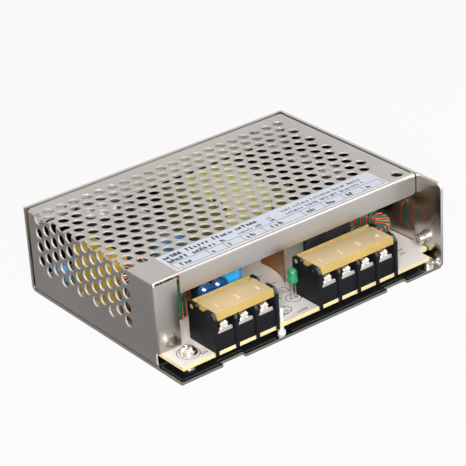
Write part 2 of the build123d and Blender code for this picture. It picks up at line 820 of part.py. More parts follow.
def make_disc(place, size, height, axis):
    """Dipped disc capacitor on two leads, standing on edge with its flat side along the axis."""
    with BuildPart() as disc:
        with BuildSketch(Plane(origin=(*place, height), z_dir=axis)):
            Circle(size / 2)
        extrude(amount=disc_sheet / 2, both=True)
        chamfer(disc.edges(), disc_edge)
        across = (axis[1], -axis[0])
        reach = size / 2 - disc_edge - lead_size
        with Locations(*[(place[0] + side * reach * across[0], place[1] + side * reach * across[1], board_top)
                         for side in (-1, 1)]):
            Box(lead_size, lead_size, height - board_top, align=(Align.CENTER, Align.CENTER, Align.MIN))
    return disc.part


discs = [
    make_disc((left + first_disc_x, front + disc_y), disc_size, board_top + disc_height - disc_size / 2,
              (0, 1, 0)),
    make_disc((left + second_disc_x, front + disc_y), disc_size, board_top + disc_height - disc_size / 2,
              (0, 1, 0)),
    make_disc((left + side_disc_x, front + side_disc_y), side_disc_size,
              board_top + side_disc_height - side_disc_size / 2, (1, 0, 0)),
    make_disc((left + inner_disc_x, front + inner_disc_y), inner_disc_size,
              board_top + inner_disc_height - inner_disc_size / 2, (0, 1, 0)),
]
finish(Compound(children=discs), "disc_capacitors")


def make_can(place, size, height):
    """Electrolytic capacitor: sleeved can with a groove near its foot and a rolled top edge."""
    with BuildPart() as can:
        with BuildSketch(Plane(origin=(*place, board_top), x_dir=(1, 0, 0), z_dir=(0, -1, 0))):
            with BuildLine():
                Polyline((0, 0), (size / 2, 0), (size / 2, can_groove_height),
                         (size / 2 - can_groove_depth, can_groove_height + can_groove_depth),
                         (size / 2, can_groove_height + 2 * can_groove_depth),
                         (size / 2, height - can_edge), (size / 2 - can_edge, height), (0, height),
                         close=True)
            make_face()
        revolve(axis=Axis((*place, 0), (0, 0, 1)))
    return can.part


can_x = right - can_column_inset
can_places = [(can_x, front + can_first_y + can_pitch * number) for number in range(can_count)]
finish(make_can((left + aux_cap_x, front + aux_cap_y), aux_cap_size, aux_cap_height), "aux_capacitor")
finish(make_can((left + bulk_cap_x, front + bulk_cap_y), bulk_cap_size, bulk_cap_height), "bulk_capacitor")
finish(Compound(children=[make_can(place, can_size, can_height) for place in can_places]),
       "output_capacitors")

with BuildPart() as fuse:
    with Locations((left + fuse_x, front + fuse_y, board_top)):
        Cylinder(fuse_size / 2, fuse_height, align=(Align.CENTER, Align.CENTER, Align.MIN))
finish(fuse.part, "fuse")

with BuildPart() as bridge_rectifier:
    with Locations((left + bridge_x, front + bridge_y, board_top)):
        Box(bridge_width, bridge_depth, bridge_height, align=(Align.CENTER, Align.CENTER, Align.MIN))
    chamfer(bridge_rectifier.edges().filter_by(Axis.Y).sort_by(Axis.Z)[-1], 2 * block_edge)
finish(bridge_rectifier.part, "bridge_rectifier")

with BuildPart() as control_chip:
    with Locations((right - chip_inset, front + chip_y, board_top)):
        Box(chip_width, chip_depth, chip_height, align=(Align.CENTER, Align.CENTER, Align.MIN))
    chamfer(control_chip.edges().group_by(Axis.Z)[-1], block_edge)
finish(control_chip.part, "control_chip")

# Transformer: two-window core, moulded bobbin, taped winding and a tape round the core
transformer_place = (transformer_offset, front + transformer_y)
core_bottom = board_top + core_lift
core_middle = core_bottom + core_height / 2
window_length = core_depth - 2 * core_leg
window_width = (core_width - 2 * core_leg - core_centre) / 2
winding_width = core_centre + 2 * window_width - 2 * winding_gap
winding_length = window_length - 2 * bobbin_sheet - 2 * winding_gap
with BuildPart() as transformer_core:
    with BuildSketch(Plane.XY.offset(core_bottom)):
        with Locations(transformer_place):
            Rectangle(core_width, core_depth)
            with GridLocations(core_centre + window_width, 0, 2, 1):
                Rectangle(window_width, window_length, mode=Mode.SUBTRACT)
    extrude(amount=core_height)
finish(transformer_core.part, "transformer_core")

middle_plane = Plane(origin=(*transformer_place, core_middle), x_dir=(1, 0, 0), z_dir=(0, -1, 0))
with BuildPart() as transformer_winding:
    with BuildSketch(middle_plane):
        RectangleRounded(winding_width, winding_height, winding_radius)
        Rectangle(core_centre + 2 * winding_gap, core_height + 2 * winding_gap, mode=Mode.SUBTRACT)
    extrude(amount=winding_length / 2, both=True)
finish(transformer_winding.part, "transformer_winding")

with BuildPart() as transformer_bobbin:
    with BuildSketch(*[middle_plane.offset(side * (winding_length + bobbin_sheet) / 2) for side in (-1, 1)]):
        with Locations((0, (winding_height / 2 + board_top - core_middle) / 2)):
            Rectangle(winding_width, winding_height / 2 + core_middle - board_top)
        Rectangle(core_centre + 2 * winding_gap, core_height + 2 * winding_gap, mode=Mode.SUBTRACT)
    extrude(amount=bobbin_sheet / 2, both=True)
    with Locations(*[(transformer_place[0], transformer_place[1] + side * (window_length + core_leg) / 2,
                      board_top) for side in (-1, 1)]):
        Box(winding_width, core_leg + 2 * winding_gap, core_lift,
            align=(Align.CENTER, Align.CENTER, Align.MIN))
finish(transformer_bobbin.part, "transformer_bobbin")

with BuildPart() as transformer_tape:
    with BuildSketch(Plane.XY.offset(core_middle - tape_width / 2)):
        with Locations(transformer_place):
            Rectangle(core_width + 2 * tape_sheet, core_depth + 2 * tape_sheet)
            Rectangle(core_width, core_depth, mode=Mode.SUBTRACT)
    extrude(amount=tape_width)
finish(transformer_tape.part, "transformer_tape")

# Heat sinks with a transistor and a rectifier screwed to them
sink_screw_lift = transistor_lift + transistor_height - transistor_width / 4
primary_plane = Plane(origin=(left + primary_sink_x, front + primary_sink_y, board_top), x_dir=(0, 1, 0),
                      z_dir=(1, 0, 0))
output_plane = Plane(origin=(right - output_sink_inset - output_sink_length / 2, front + output_sink_y,
                             board_top), x_dir=(-1, 0, 0), z_dir=(0, 1, 0))
sinks = {
    "primary_heatsink": (primary_plane, primary_sink_length, sink_height),
    "output_heatsink": (output_plane, output_sink_length, output_sink_height),
}
for sink_name, (sink_plane, sink_length, plate_height) in sinks.items():
    with BuildPart() as sink:
        with BuildSketch(sink_plane):
            Rectangle(sink_length, plate_height, align=(Align.CENTER, Align.MIN))
            with Locations((0, sink_screw_lift)):
                Circle(sink_screw_size / 2 + thread_clearance, mode=Mode.SUBTRACT)
        extrude(amount=-sink_sheet)
        with BuildSketch(sink_plane):
            Rectangle(sink_length, sink_sheet, align=(Align.CENTER, Align.MIN))
        extrude(amount=-sink_foot)
    finish(sink.part, sink_name)

for device_name, device_plane in (("power_transistor", primary_plane), ("output_rectifier", output_plane)):
    with BuildPart() as device:
        with BuildSketch(device_plane):
            with Locations((0, transistor_lift)):
                Rectangle(transistor_width, transistor_height, align=(Align.CENTER, Align.MIN))
            with Locations((0, sink_screw_lift)):
                Circle(sink_screw_size / 2 + thread_clearance, mode=Mode.SUBTRACT)
        extrude(amount=tab_sheet)
        with BuildSketch(device_plane.offset(tab_sheet)):
            with Locations((0, transistor_lift)):
                Rectangle(transistor_width, transistor_body, align=(Align.CENTER, Align.MIN))
        extrude(amount=transistor_sheet - tab_sheet)
        with BuildSketch(device_plane.offset(tab_sheet)):
            with GridLocations(lead_pitch, 0, 3, 1):
                Rectangle(lead_size, transistor_lift, align=(Align.CENTER, Align.MIN))
        extrude(amount=lead_size)
    finish(device.part, device_name)

sink_screw = pan_head_screw(sink_screw_size, tab_sheet + sink_sheet, sink_screw_head, sink_screw_height)
with BuildPart() as heatsink_screws:
    with Locations(*[plane * Pos(0, sink_screw_lift, tab_sheet) for plane in (primary_plane, output_plane)]):
        add(sink_screw)
finish(heatsink_screws.part, "heatsink_screws")

# Brown film that stands between the input and the output side
barrier_start = (right - barrier_front_inset, front + barrier_front_y)
barrier_end = (right - barrier_back_inset, front + barrier_back_y)
barrier_middle = ((barrier_start[0] + barrier_end[0]) / 2 + barrier_bow,
                  (barrier_start[1] + barrier_end[1]) / 2)
with BuildPart() as film_barrier:
    with BuildSketch(Plane.XY.offset(board_top)):
        with BuildLine():
            ThreePointArc(barrier_start, barrier_middle, barrier_end)
            offset(amount=barrier_sheet, side=Side.LEFT)
        make_face()
    extrude(amount=barrier_height)
finish(film_barrier.part, "film_barrier")
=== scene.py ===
"""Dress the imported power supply: a folded steel case, its board, terminals and inside parts.

Every length in the pieces is in millimetres in the model's own frame: +X runs to the right along
the terminal edge, +Y to the back and +Z up, from the middle of the footprint.
"""

import logging
import math
import random
from dataclasses import dataclass, field
from enum import Enum
from typing import Callable, Iterable, Optional, Sequence

import bmesh
import bpy
from mathutils import Matrix, Vector

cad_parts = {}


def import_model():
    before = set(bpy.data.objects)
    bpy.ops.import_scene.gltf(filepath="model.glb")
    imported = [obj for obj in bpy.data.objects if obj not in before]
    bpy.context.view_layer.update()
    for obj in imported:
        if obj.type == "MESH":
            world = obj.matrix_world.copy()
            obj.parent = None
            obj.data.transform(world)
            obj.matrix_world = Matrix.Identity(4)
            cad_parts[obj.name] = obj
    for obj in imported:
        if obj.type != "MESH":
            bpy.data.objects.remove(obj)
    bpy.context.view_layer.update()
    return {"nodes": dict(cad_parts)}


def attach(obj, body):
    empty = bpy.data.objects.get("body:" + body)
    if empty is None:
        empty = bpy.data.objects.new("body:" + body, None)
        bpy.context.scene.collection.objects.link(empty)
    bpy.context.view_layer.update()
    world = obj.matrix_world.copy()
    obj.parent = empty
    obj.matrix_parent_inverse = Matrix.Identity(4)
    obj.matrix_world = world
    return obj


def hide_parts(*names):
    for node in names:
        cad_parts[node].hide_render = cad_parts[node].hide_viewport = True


LOG = logging.getLogger("power_supply")
MM = 0.001

# Sockets of the Mix node that carry colours, which share their names with its other ones
MIX_SHARE, MIX_LOW, MIX_HIGH, MIX_RESULT = 0, 6, 7, 2

# Shares of a face's normal along a direction: across it, and mostly, nearly and fully facing it
ACROSS, MOSTLY, STRAIGHT, FULLY = 0.1, 0.7, 0.9, 0.98

# Merging distances of meshes in millimetres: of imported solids, of new ones and of a flat pattern
PACKED_WELD = 0.002
WELD = 0.001
PATTERN_WELD = 0.0005

Point = tuple[float, float, float]
Flat = tuple[float, float]
Colour = tuple[float, float, float]


# Shader effects that the finishes share
class Surface(Enum):
    """Kinds of fine surface detail that a finish can have."""

    METAL = "metal"
    MOULDED = "moulded"
    LAMINATE = "laminate"
    ENAMEL = "enamel"
    FILM = "film"
    CAST = "cast"


# Surface detail in noise periods, or radians of the weave, per metre
SHEET_GRAIN = {"Fine": 1400.0, "Stretch": 0.05, "Broad": 45.0, "Wave": 11.0}
WEAVE_PITCH = {"Pitch": 5200.0}
PEBBLES = {Surface.MOULDED: 2600.0, Surface.CAST: 1500.0, Surface.ENAMEL: 700.0, Surface.FILM: 260.0}
RELIEF_DEPTH = 0.0002
SMUDGE_CONTRAST = 1.6
COAT_ROUGHNESS = 0.12


@dataclass
class NodeSheet:
    """Thin helper that places and links nodes in one node tree."""

    tree: bpy.types.NodeTree

    def add(self, kind: str, **settings: object) -> bpy.types.Node:
        """Place a node.

        Args:
            kind: Blender's type name of the node.
            **settings: Attributes to set on it.

        Returns:
            The new node.
        """
        node = self.tree.nodes.new(kind)
        for name, value in settings.items():
            setattr(node, name, value)
        return node

    def link(self, source: object, target: object) -> None:
        """Join an output socket to an input socket."""
        self.tree.links.new(source, target)

    def math(self, operation: str, first: object, second: object = 0.0) -> object:
        """Place a Math node.

        Args:
            operation: Name of the operation.
            first: A socket or a number.
            second: A socket or a number.

        Returns:
            The node's output socket.
        """
        node = self.add("ShaderNodeMath", operation=operation)
        for slot, value in ((0, first), (1, second)):
            if isinstance(value, (int, float)):
                node.inputs[slot].default_value = value
            else:
                self.link(value, node.inputs[slot])
        return node.outputs[0]

    def place(self) -> object:
        """Put out the object coordinates, which are in metres of the part's frame."""
        return self.add("ShaderNodeTexCoord").outputs["Object"]

    def noise(self, where: object, scale: object, detail: float) -> object:
        """Place a noise texture.

        Args:
            where: Socket with its coordinates.
            scale: Socket with its scale.
            detail: Number of finer layers in it.

        Returns:
            The socket with its value.
        """
        node = self.add("ShaderNodeTexNoise")
        node.inputs["Detail"].default_value = detail
        self.link(where, node.inputs["Vector"])
        self.link(scale, node.inputs["Scale"])
        return node.outputs["Fac"]


class EffectLibrary:
    """Shared shader effects, each one a node group that is built once."""

    def __init__(self) -> None:
        """Start with no group built."""
        self.groups: dict[str, bpy.types.NodeTree] = {}

    def start(self, name: str, numbers: dict[str, float],
              outputs: dict[str, str]) -> tuple[NodeSheet, bpy.types.Node, bpy.types.Node]:
        """Open a new group with its sockets.

        Args:
            name: The group's name.
            numbers: Inputs with their first values.
            outputs: Output names with their socket types.

        Returns:
            The sheet, the group input node and the group output node.
        """
        tree = bpy.data.node_groups.new(name, "ShaderNodeTree")
        for label, value in numbers.items():
            socket = tree.interface.new_socket(label, in_out="INPUT", socket_type="NodeSocketFloat")
            socket.default_value = value
        for label, kind in outputs.items():
            tree.interface.new_socket(label, in_out="OUTPUT", socket_type=kind)
        sheet = NodeSheet(tree)
        self.groups[name] = tree
        return sheet, sheet.add("NodeGroupInput"), sheet.add("NodeGroupOutput")

    def smudge(self) -> bpy.types.NodeTree:
        """Give the soft handling marks that change a surface's tone and gloss.

        Returns:
            The group, built on the first call.
        """
        if "smudge" in self.groups:
            return self.groups["smudge"]
        sheet, given, out = self.start("smudge", {"Size": 60.0, "Contrast": SMUDGE_CONTRAST},
                                       {"Mask": "NodeSocketFloat"})
        cloud = sheet.noise(sheet.place(), given.outputs["Size"], detail=4.0)
        centred = sheet.math("SUBTRACT", cloud, 0.5)
        scaled = sheet.math("MULTIPLY", centred, given.outputs["Contrast"])
        lifted = sheet.math("ADD", scaled, 0.5)
        sheet.link(sheet.math("MINIMUM", sheet.math("MAXIMUM", lifted, 0.0), 1.0), out.inputs["Mask"])
        return sheet.tree

    def grain(self) -> bpy.types.NodeTree:
        """Give the fine lines and the slight waviness that rolling leaves in sheet metal, as a height.

        Returns:
            The group, built on the first call.
        """
        if "grain" in self.groups:
            return self.groups["grain"]
        sheet, given, out = self.start("grain", SHEET_GRAIN, {"Height": "NodeSocketFloat"})
        split = sheet.add("ShaderNodeSeparateXYZ")
        sheet.link(sheet.place(), split.inputs[0])
        join = sheet.add("ShaderNodeCombineXYZ")
        sheet.link(sheet.math("MULTIPLY", split.outputs["X"], given.outputs["Stretch"]), join.inputs["X"])
        sheet.link(split.outputs["Y"], join.inputs["Y"])
        sheet.link(split.outputs["Z"], join.inputs["Z"])
        lines = sheet.noise(join.outputs[0], given.outputs["Fine"], detail=3.0)
        waves = sheet.noise(sheet.place(), given.outputs["Broad"], detail=1.0)
        swell = sheet.math("MULTIPLY", waves, given.outputs["Wave"])
        sheet.link(sheet.math("ADD", lines, swell), out.inputs["Height"])
        return sheet.tree

    def pebble(self) -> bpy.types.NodeTree:
        """Give the fine orange-peel of moulded, cast or dipped parts, as a height.

        Returns:
            The group, built on the first call.
        """
        if "pebble" in self.groups:
            return self.groups["pebble"]
        sheet, given, out = self.start("pebble", {"Fine": PEBBLES[Surface.MOULDED]},
                                       {"Height": "NodeSocketFloat"})
        sheet.link(sheet.noise(sheet.place(), given.outputs["Fine"], detail=2.0), out.inputs["Height"])
        return sheet.tree

    def weave(self) -> bpy.types.NodeTree:
        """Give the glass weave that shows faintly through a board's lacquer.

        Returns:
            The group, built on the first call.
        """
        if "weave" in self.groups:
            return self.groups["weave"]
        sheet, given, out = self.start("weave", WEAVE_PITCH, {"Height": "NodeSocketFloat"})
        split = sheet.add("ShaderNodeSeparateXYZ")
        sheet.link(sheet.place(), split.inputs[0])
        waves = [
            sheet.math("SINE", sheet.math("MULTIPLY", split.outputs[axis], given.outputs["Pitch"]))
            for axis in ("X", "Y")
        ]
        sheet.link(sheet.math("MULTIPLY", waves[0], waves[1]), out.inputs["Height"])
        return sheet.tree

    def place_in(self, sheet: NodeSheet, group: bpy.types.NodeTree, **values: float) -> bpy.types.Node:
        """Place a group in a material with its own values.

        Args:
            sheet: The material's sheet.
            group: The group to place.
            **values: Its input values.

        Returns:
            The group node.
        """
        node = sheet.add("ShaderNodeGroup")
        node.node_tree = group
        for name, value in values.items():
            node.inputs[name].default_value = value
        return node


@dataclass(frozen=True)
class Finish:
    """One surface finish of the object, with the values its material is built from."""

    name: str
    slot: str
    colour: Colour
    roughness: float
    surface: Surface
    metallic: float = 0.0
    tone: float = 0.12
    gloss_change: float = 0.10
    relief: float = 0.05
    smudge_size: float = 60.0
    transmission: float = 0.0
    ior: float = 1.5
    coat: float = 0.0
    specular: float = 0.5

    def build(self, effects: EffectLibrary) -> bpy.types.Material:
        """Build the finish's material from the shared effects.

        Args:
            effects: The library of shader groups.

        Returns:
            The material, built on the first call and kept by name.
        """
        if self.name in bpy.data.materials:
            return bpy.data.materials[self.name]
        material = bpy.data.materials.new(self.name)
        material.use_nodes = True
        sheet = NodeSheet(material.node_tree)
        shader = material.node_tree.nodes["Principled BSDF"]
        shader.inputs["Metallic"].default_value = self.metallic
        shader.inputs["IOR"].default_value = self.ior
        shader.inputs["Transmission Weight"].default_value = self.transmission
        shader.inputs["Specular IOR Level"].default_value = self.specular
        shader.inputs["Coat Weight"].default_value = self.coat
        shader.inputs["Coat Roughness"].default_value = COAT_ROUGHNESS
        smudge = effects.place_in(sheet, effects.smudge(), Size=self.smudge_size, Contrast=SMUDGE_CONTRAST)
        darker = tuple(channel * (1 - self.tone) for channel in self.colour)
        lighter = tuple(min(1.0, channel * (1 + self.tone / 2)) for channel in self.colour)
        colour = self.blend(sheet, smudge.outputs["Mask"], darker, lighter)
        sheet.link(colour, shader.inputs["Base Color"])
        change = sheet.math("MULTIPLY", smudge.outputs["Mask"], self.gloss_change)
        sheet.link(sheet.math("ADD", change, self.roughness), shader.inputs["Roughness"])
        if self.relief > 0:
            sheet.link(self.bump(sheet, effects), shader.inputs["Normal"])
        return material

    def blend(self, sheet: NodeSheet, mask: object, low: Colour, high: Colour) -> object:
        """Mix two colours by a mask.

        Args:
            sheet: The material's sheet.
            mask: Socket with the mask.
            low: Colour where the mask is zero.
            high: Colour where the mask is one.

        Returns:
            The socket with the mixed colour.
        """
        mix = sheet.add("ShaderNodeMix", data_type="RGBA")
        sheet.link(mask, mix.inputs[MIX_SHARE])
        mix.inputs[MIX_LOW].default_value = (*low, 1.0)
        mix.inputs[MIX_HIGH].default_value = (*high, 1.0)
        return mix.outputs[MIX_RESULT]

    def bump(self, sheet: NodeSheet, effects: EffectLibrary) -> object:
        """Place the relief that suits the surface and put out its normal.

        Args:
            sheet: The material's sheet.
            effects: The library of shader groups.

        Returns:
            The Bump node's normal socket.
        """
        if self.surface is Surface.METAL:
            source = effects.place_in(sheet, effects.grain(), **SHEET_GRAIN)
        elif self.surface is Surface.LAMINATE:
            source = effects.place_in(sheet, effects.weave(), **WEAVE_PITCH)
        else:
            source = effects.place_in(sheet, effects.pebble(), Fine=PEBBLES[self.surface])
        node = sheet.add("ShaderNodeBump")
        node.inputs["Strength"].default_value = self.relief
        node.inputs["Distance"].default_value = RELIEF_DEPTH
        sheet.link(source.outputs["Height"], node.inputs["Height"])
        return node.outputs["Normal"]


# Finishes of this object
CHASSIS_STEEL = Finish("chassis_bright_steel", "chassis_steel", (0.58, 0.56, 0.535), 0.15, Surface.METAL,
                       metallic=1.0, tone=0.10, gloss_change=0.08, relief=0.035, smudge_size=40.0)
COVER_STEEL = Finish("cover_rolled_steel", "cover_steel", (0.51, 0.478, 0.450), 0.24, Surface.METAL,
                     metallic=1.0, tone=0.16, gloss_change=0.12, relief=0.08, smudge_size=25.0)
# Pale steel painted on the back flange's inner face, as painted light
COVER_PAINTED_LIGHT = Finish("cover_painted_light_inside", "cover_steel", (0.93, 0.90, 0.875), 0.55, Surface.METAL,
                      metallic=0.15, tone=0.08, relief=0.07, smudge_size=25.0)
# Bright steel painted on the punched hole walls and the cut edges, as painted highlight
COVER_CUT_HIGHLIGHT = Finish("cover_punched_edge_painted_highlight", "cover_steel", (0.85, 0.82, 0.79), 0.32, Surface.METAL,
                   metallic=0.50, tone=0.12, relief=0.02, smudge_size=200.0)
# Pale steel painted on the upper right of the back wall's inner face, as painted light
CHASSIS_PAINTED_LIGHT = Finish("chassis_painted_light_inside", "chassis_steel", (0.96, 0.92, 0.87), 0.50, Surface.METAL,
                        metallic=0.0, tone=0.10, relief=0.03, smudge_size=30.0)
# Dark steel painted on the rest of the back wall's inner face under the cover, as painted shade
CHASSIS_SHADED = Finish("chassis_shaded_inside", "chassis_steel", (0.10, 0.095, 0.09), 0.34, Surface.METAL,
                        metallic=1.0, tone=0.2, relief=0.03, smudge_size=30.0)
# Bright steel painted on the chassis's eased edges, as painted highlight
EDGE_PAINTED_HIGHLIGHT = Finish("sheet_edge_painted_highlight", "chassis_steel", (0.80, 0.78, 0.75), 0.26, Surface.METAL,
                  metallic=1.0, tone=0.15, relief=0.02, smudge_size=200.0)
SCREW_STEEL = Finish("screw_plated_steel", "screw_steel", (0.80, 0.77, 0.72), 0.16, Surface.METAL,
                     metallic=1.0, tone=0.18, gloss_change=0.10, relief=0.02, smudge_size=300.0)
INSERT_STEEL = Finish("insert_plated_steel", "insert_steel", (0.70, 0.68, 0.65), 0.20, Surface.METAL,
                      metallic=1.0, tone=0.15, gloss_change=0.10, relief=0.02, smudge_size=300.0)
FILM_BLACK = Finish("insulation_black_film", "film_black", (0.010, 0.010, 0.012), 0.22, Surface.FILM,
                    tone=0.3, gloss_change=0.15, relief=0.25, specular=0.3)
BOARD_CREAM = Finish("board_cream_lacquer", "board", (0.80, 0.757, 0.72), 0.35, Surface.LAMINATE, tone=0.06,
                     relief=0.04)
BOARD_UNDER = Finish("board_green_underside", "board", (0.018, 0.060, 0.038), 0.30, Surface.LAMINATE,
                     tone=0.3, relief=0.10)
BOARD_EDGE = Finish("board_pale_laminate", "board", (0.76, 0.66, 0.34), 0.55, Surface.CAST, tone=0.2,
                    relief=0.2)
SILK_DARK = Finish("board_dark_print", "board", (0.05, 0.05, 0.06), 0.5, Surface.CAST, tone=0.2, relief=0.0)
NYLON_WHITE = Finish("nylon_white_moulding", "nylon_white", (0.80, 0.79, 0.76), 0.35, Surface.MOULDED,
                     tone=0.05)
HOUSING_BLACK = Finish("terminal_black_moulding", "housing_black", (0.007, 0.0075, 0.010), 0.42,
                       Surface.MOULDED, tone=0.35, gloss_change=0.16, relief=0.14, smudge_size=120.0,
                       specular=0.16)
# Lighter black painted on the housings' eased edges, as painted highlight
HOUSING_EDGE_HIGHLIGHT = Finish("terminal_black_edge_painted_highlight", "housing_black", (0.045, 0.046, 0.050), 0.30, Surface.MOULDED,
                      tone=0.3, gloss_change=0.10, relief=0.06, smudge_size=400.0, specular=0.40)
LID_CLEAR = Finish("lid_amber_clear", "lid_amber", (0.83, 0.63, 0.20), 0.14, Surface.MOULDED, tone=0.12,
                   gloss_change=0.08, relief=0.03, smudge_size=80.0, transmission=0.50, ior=1.45)
# The lids' frosted top, painted paler as painted sheen
LID_FROST_SHEEN = Finish("lid_amber_frosted_painted_sheen", "lid_amber", (0.90, 0.71, 0.42), 0.30, Surface.CAST, tone=0.22,
                   gloss_change=0.16, relief=0.10, smudge_size=42.0, transmission=0.35, ior=1.45)
LID_EDGE = Finish("lid_amber_edge", "lid_amber", (0.72, 0.40, 0.03), 0.14, Surface.MOULDED, tone=0.1,
                  relief=0.0, transmission=0.35, ior=1.45)
LID_MARK = Finish("lid_amber_numeral", "lid_amber", (0.97, 0.90, 0.74), 0.22, Surface.MOULDED, tone=0.05,
                  relief=0.0, transmission=0.15, ior=1.45)
CONTACT_TIN = Finish("contact_tin_plate", "contact_plate", (0.84, 0.81, 0.75), 0.20, Surface.METAL,
                     metallic=1.0, tone=0.15, gloss_change=0.12, relief=0.02, smudge_size=250.0)
LAMP_GREEN = Finish("lamp_green_resin", "lamp_green", (0.045, 0.38, 0.165), 0.10, Surface.MOULDED, tone=0.05,
                    gloss_change=0.02, relief=0.0, transmission=0.35)
LEAD_TIN = Finish("lead_tinned_wire", "lead_tin", (0.78, 0.77, 0.74), 0.24, Surface.METAL, metallic=1.0,
                  tone=0.1, relief=0.0)
CORE_GREEN = Finish("choke_green_coating", "ferrite_green", (0.05, 0.24, 0.14), 0.30, Surface.ENAMEL,
                    tone=0.2, relief=0.10)
COPPER_WIRE = Finish("winding_copper_enamel", "copper_wire", (0.92, 0.44, 0.25), 0.22, Surface.ENAMEL,
                     metallic=1.0, tone=0.25, gloss_change=0.12, relief=0.02, smudge_size=200.0)
YELLOW_BOX = Finish("capacitor_yellow_moulding", "film_yellow", (0.88, 0.60, 0.05), 0.30, Surface.MOULDED,
                    tone=0.08, relief=0.06)
DISC_BLUE = Finish("disc_blue_dip", "disc_blue", (0.008, 0.085, 0.27), 0.16, Surface.ENAMEL, tone=0.2,
                   relief=0.12, smudge_size=120.0, coat=0.5)
DISC_PALE = Finish("disc_light_blue_dip", "disc_blue", (0.11, 0.36, 0.68), 0.18, Surface.ENAMEL, tone=0.12,
                   relief=0.12, smudge_size=120.0, coat=0.4)
SLEEVE_BLUE = Finish("capacitor_blue_sleeve", "sleeve_blue", (0.04, 0.40, 0.85), 0.18, Surface.FILM,
                     tone=0.08, gloss_change=0.06, relief=0.04, coat=0.5)
FUSE_BLACK = Finish("fuse_black_sleeve", "fuse_black", (0.016, 0.016, 0.018), 0.35, Surface.FILM, tone=0.2,
                    relief=0.1)
RESIN_BLACK = Finish("package_black_resin", "resin_black", (0.018, 0.018, 0.020), 0.45, Surface.CAST,
                     tone=0.2, gloss_change=0.15, relief=0.2)
SLEEVE_BLACK = Finish("capacitor_black_sleeve", "sleeve_black", (0.013, 0.013, 0.016), 0.20, Surface.FILM,
                      tone=0.2, relief=0.05, coat=0.4)
CAN_TOP = Finish("capacitor_bare_top", "sleeve_dark", (0.76, 0.76, 0.76), 0.28, Surface.METAL, metallic=1.0,
                 tone=0.1, relief=0.05)
FERRITE_DARK = Finish("ferrite_sintered", "ferrite_dark", (0.030, 0.029, 0.028), 0.55, Surface.CAST,
                      tone=0.25, gloss_change=0.15, relief=0.3)
TAPE_YELLOW = Finish("tape_yellow_polyester", "tape_yellow", (0.97, 0.96, 0.36), 0.20, Surface.FILM,
                     tone=0.08, relief=0.25, coat=0.3)
# Yellow tape painted darker as painted shade, on the tape band and the left yoke
TAPE_PAINTED_SHADE = Finish("tape_yellow_painted_shade", "tape_yellow", (0.30, 0.28, 0.055), 0.26, Surface.FILM, tone=0.12,
                    relief=0.25, coat=0.3)
TAPE_MARK = Finish("tape_dark_mark", "tape_yellow", (0.05, 0.05, 0.03), 0.5, Surface.CAST, tone=0.2,
                   relief=0.0)
BOBBIN_BLACK = Finish("bobbin_black_moulding", "bobbin_black", (0.025, 0.025, 0.026), 0.42, Surface.MOULDED,
                      tone=0.2, relief=0.1)
SINK_BARE = Finish("sink_bare_aluminium", "sink_aluminium", (0.64, 0.64, 0.63), 0.32, Surface.METAL,
                   metallic=1.0, tone=0.1, relief=0.08)
SINK_BLACK = Finish("sink_black_anodised", "sink_black", (0.018, 0.018, 0.021), 0.40, Surface.METAL,
                    metallic=0.2, tone=0.2, gloss_change=0.15, relief=0.06)
BARRIER_BROWN = Finish("barrier_amber_film", "barrier_brown", (0.25, 0.080, 0.006), 0.12, Surface.FILM,
                       tone=0.25, relief=0.3, specular=0.2, transmission=0.10, ior=1.45)
WIRE_RED = Finish("winding_red_enamel", "wire_red", (0.66, 0.08, 0.04), 0.20, Surface.ENAMEL, metallic=0.15,
                  tone=0.2, relief=0.02)
WIRE_GREEN = Finish("winding_green_enamel", "wire_green", (0.03, 0.24, 0.12), 0.20, Surface.ENAMEL,
                    metallic=0.15, tone=0.2, relief=0.02)
CORE_GREY = Finish("core_grey_coating", "core_grey", (0.12, 0.14, 0.12), 0.40, Surface.ENAMEL, tone=0.2,
                   relief=0.12)
LABEL_FILM = Finish("label_pale_film", "label_film", (0.70, 0.745, 0.85), 0.30, Surface.FILM, tone=0.04,
                    gloss_change=0.06, relief=0.02)
PRINT_GREY = Finish("label_grey_ink", "label_film", (0.055, 0.060, 0.075), 0.45, Surface.CAST, tone=0.2,
                    relief=0.0)


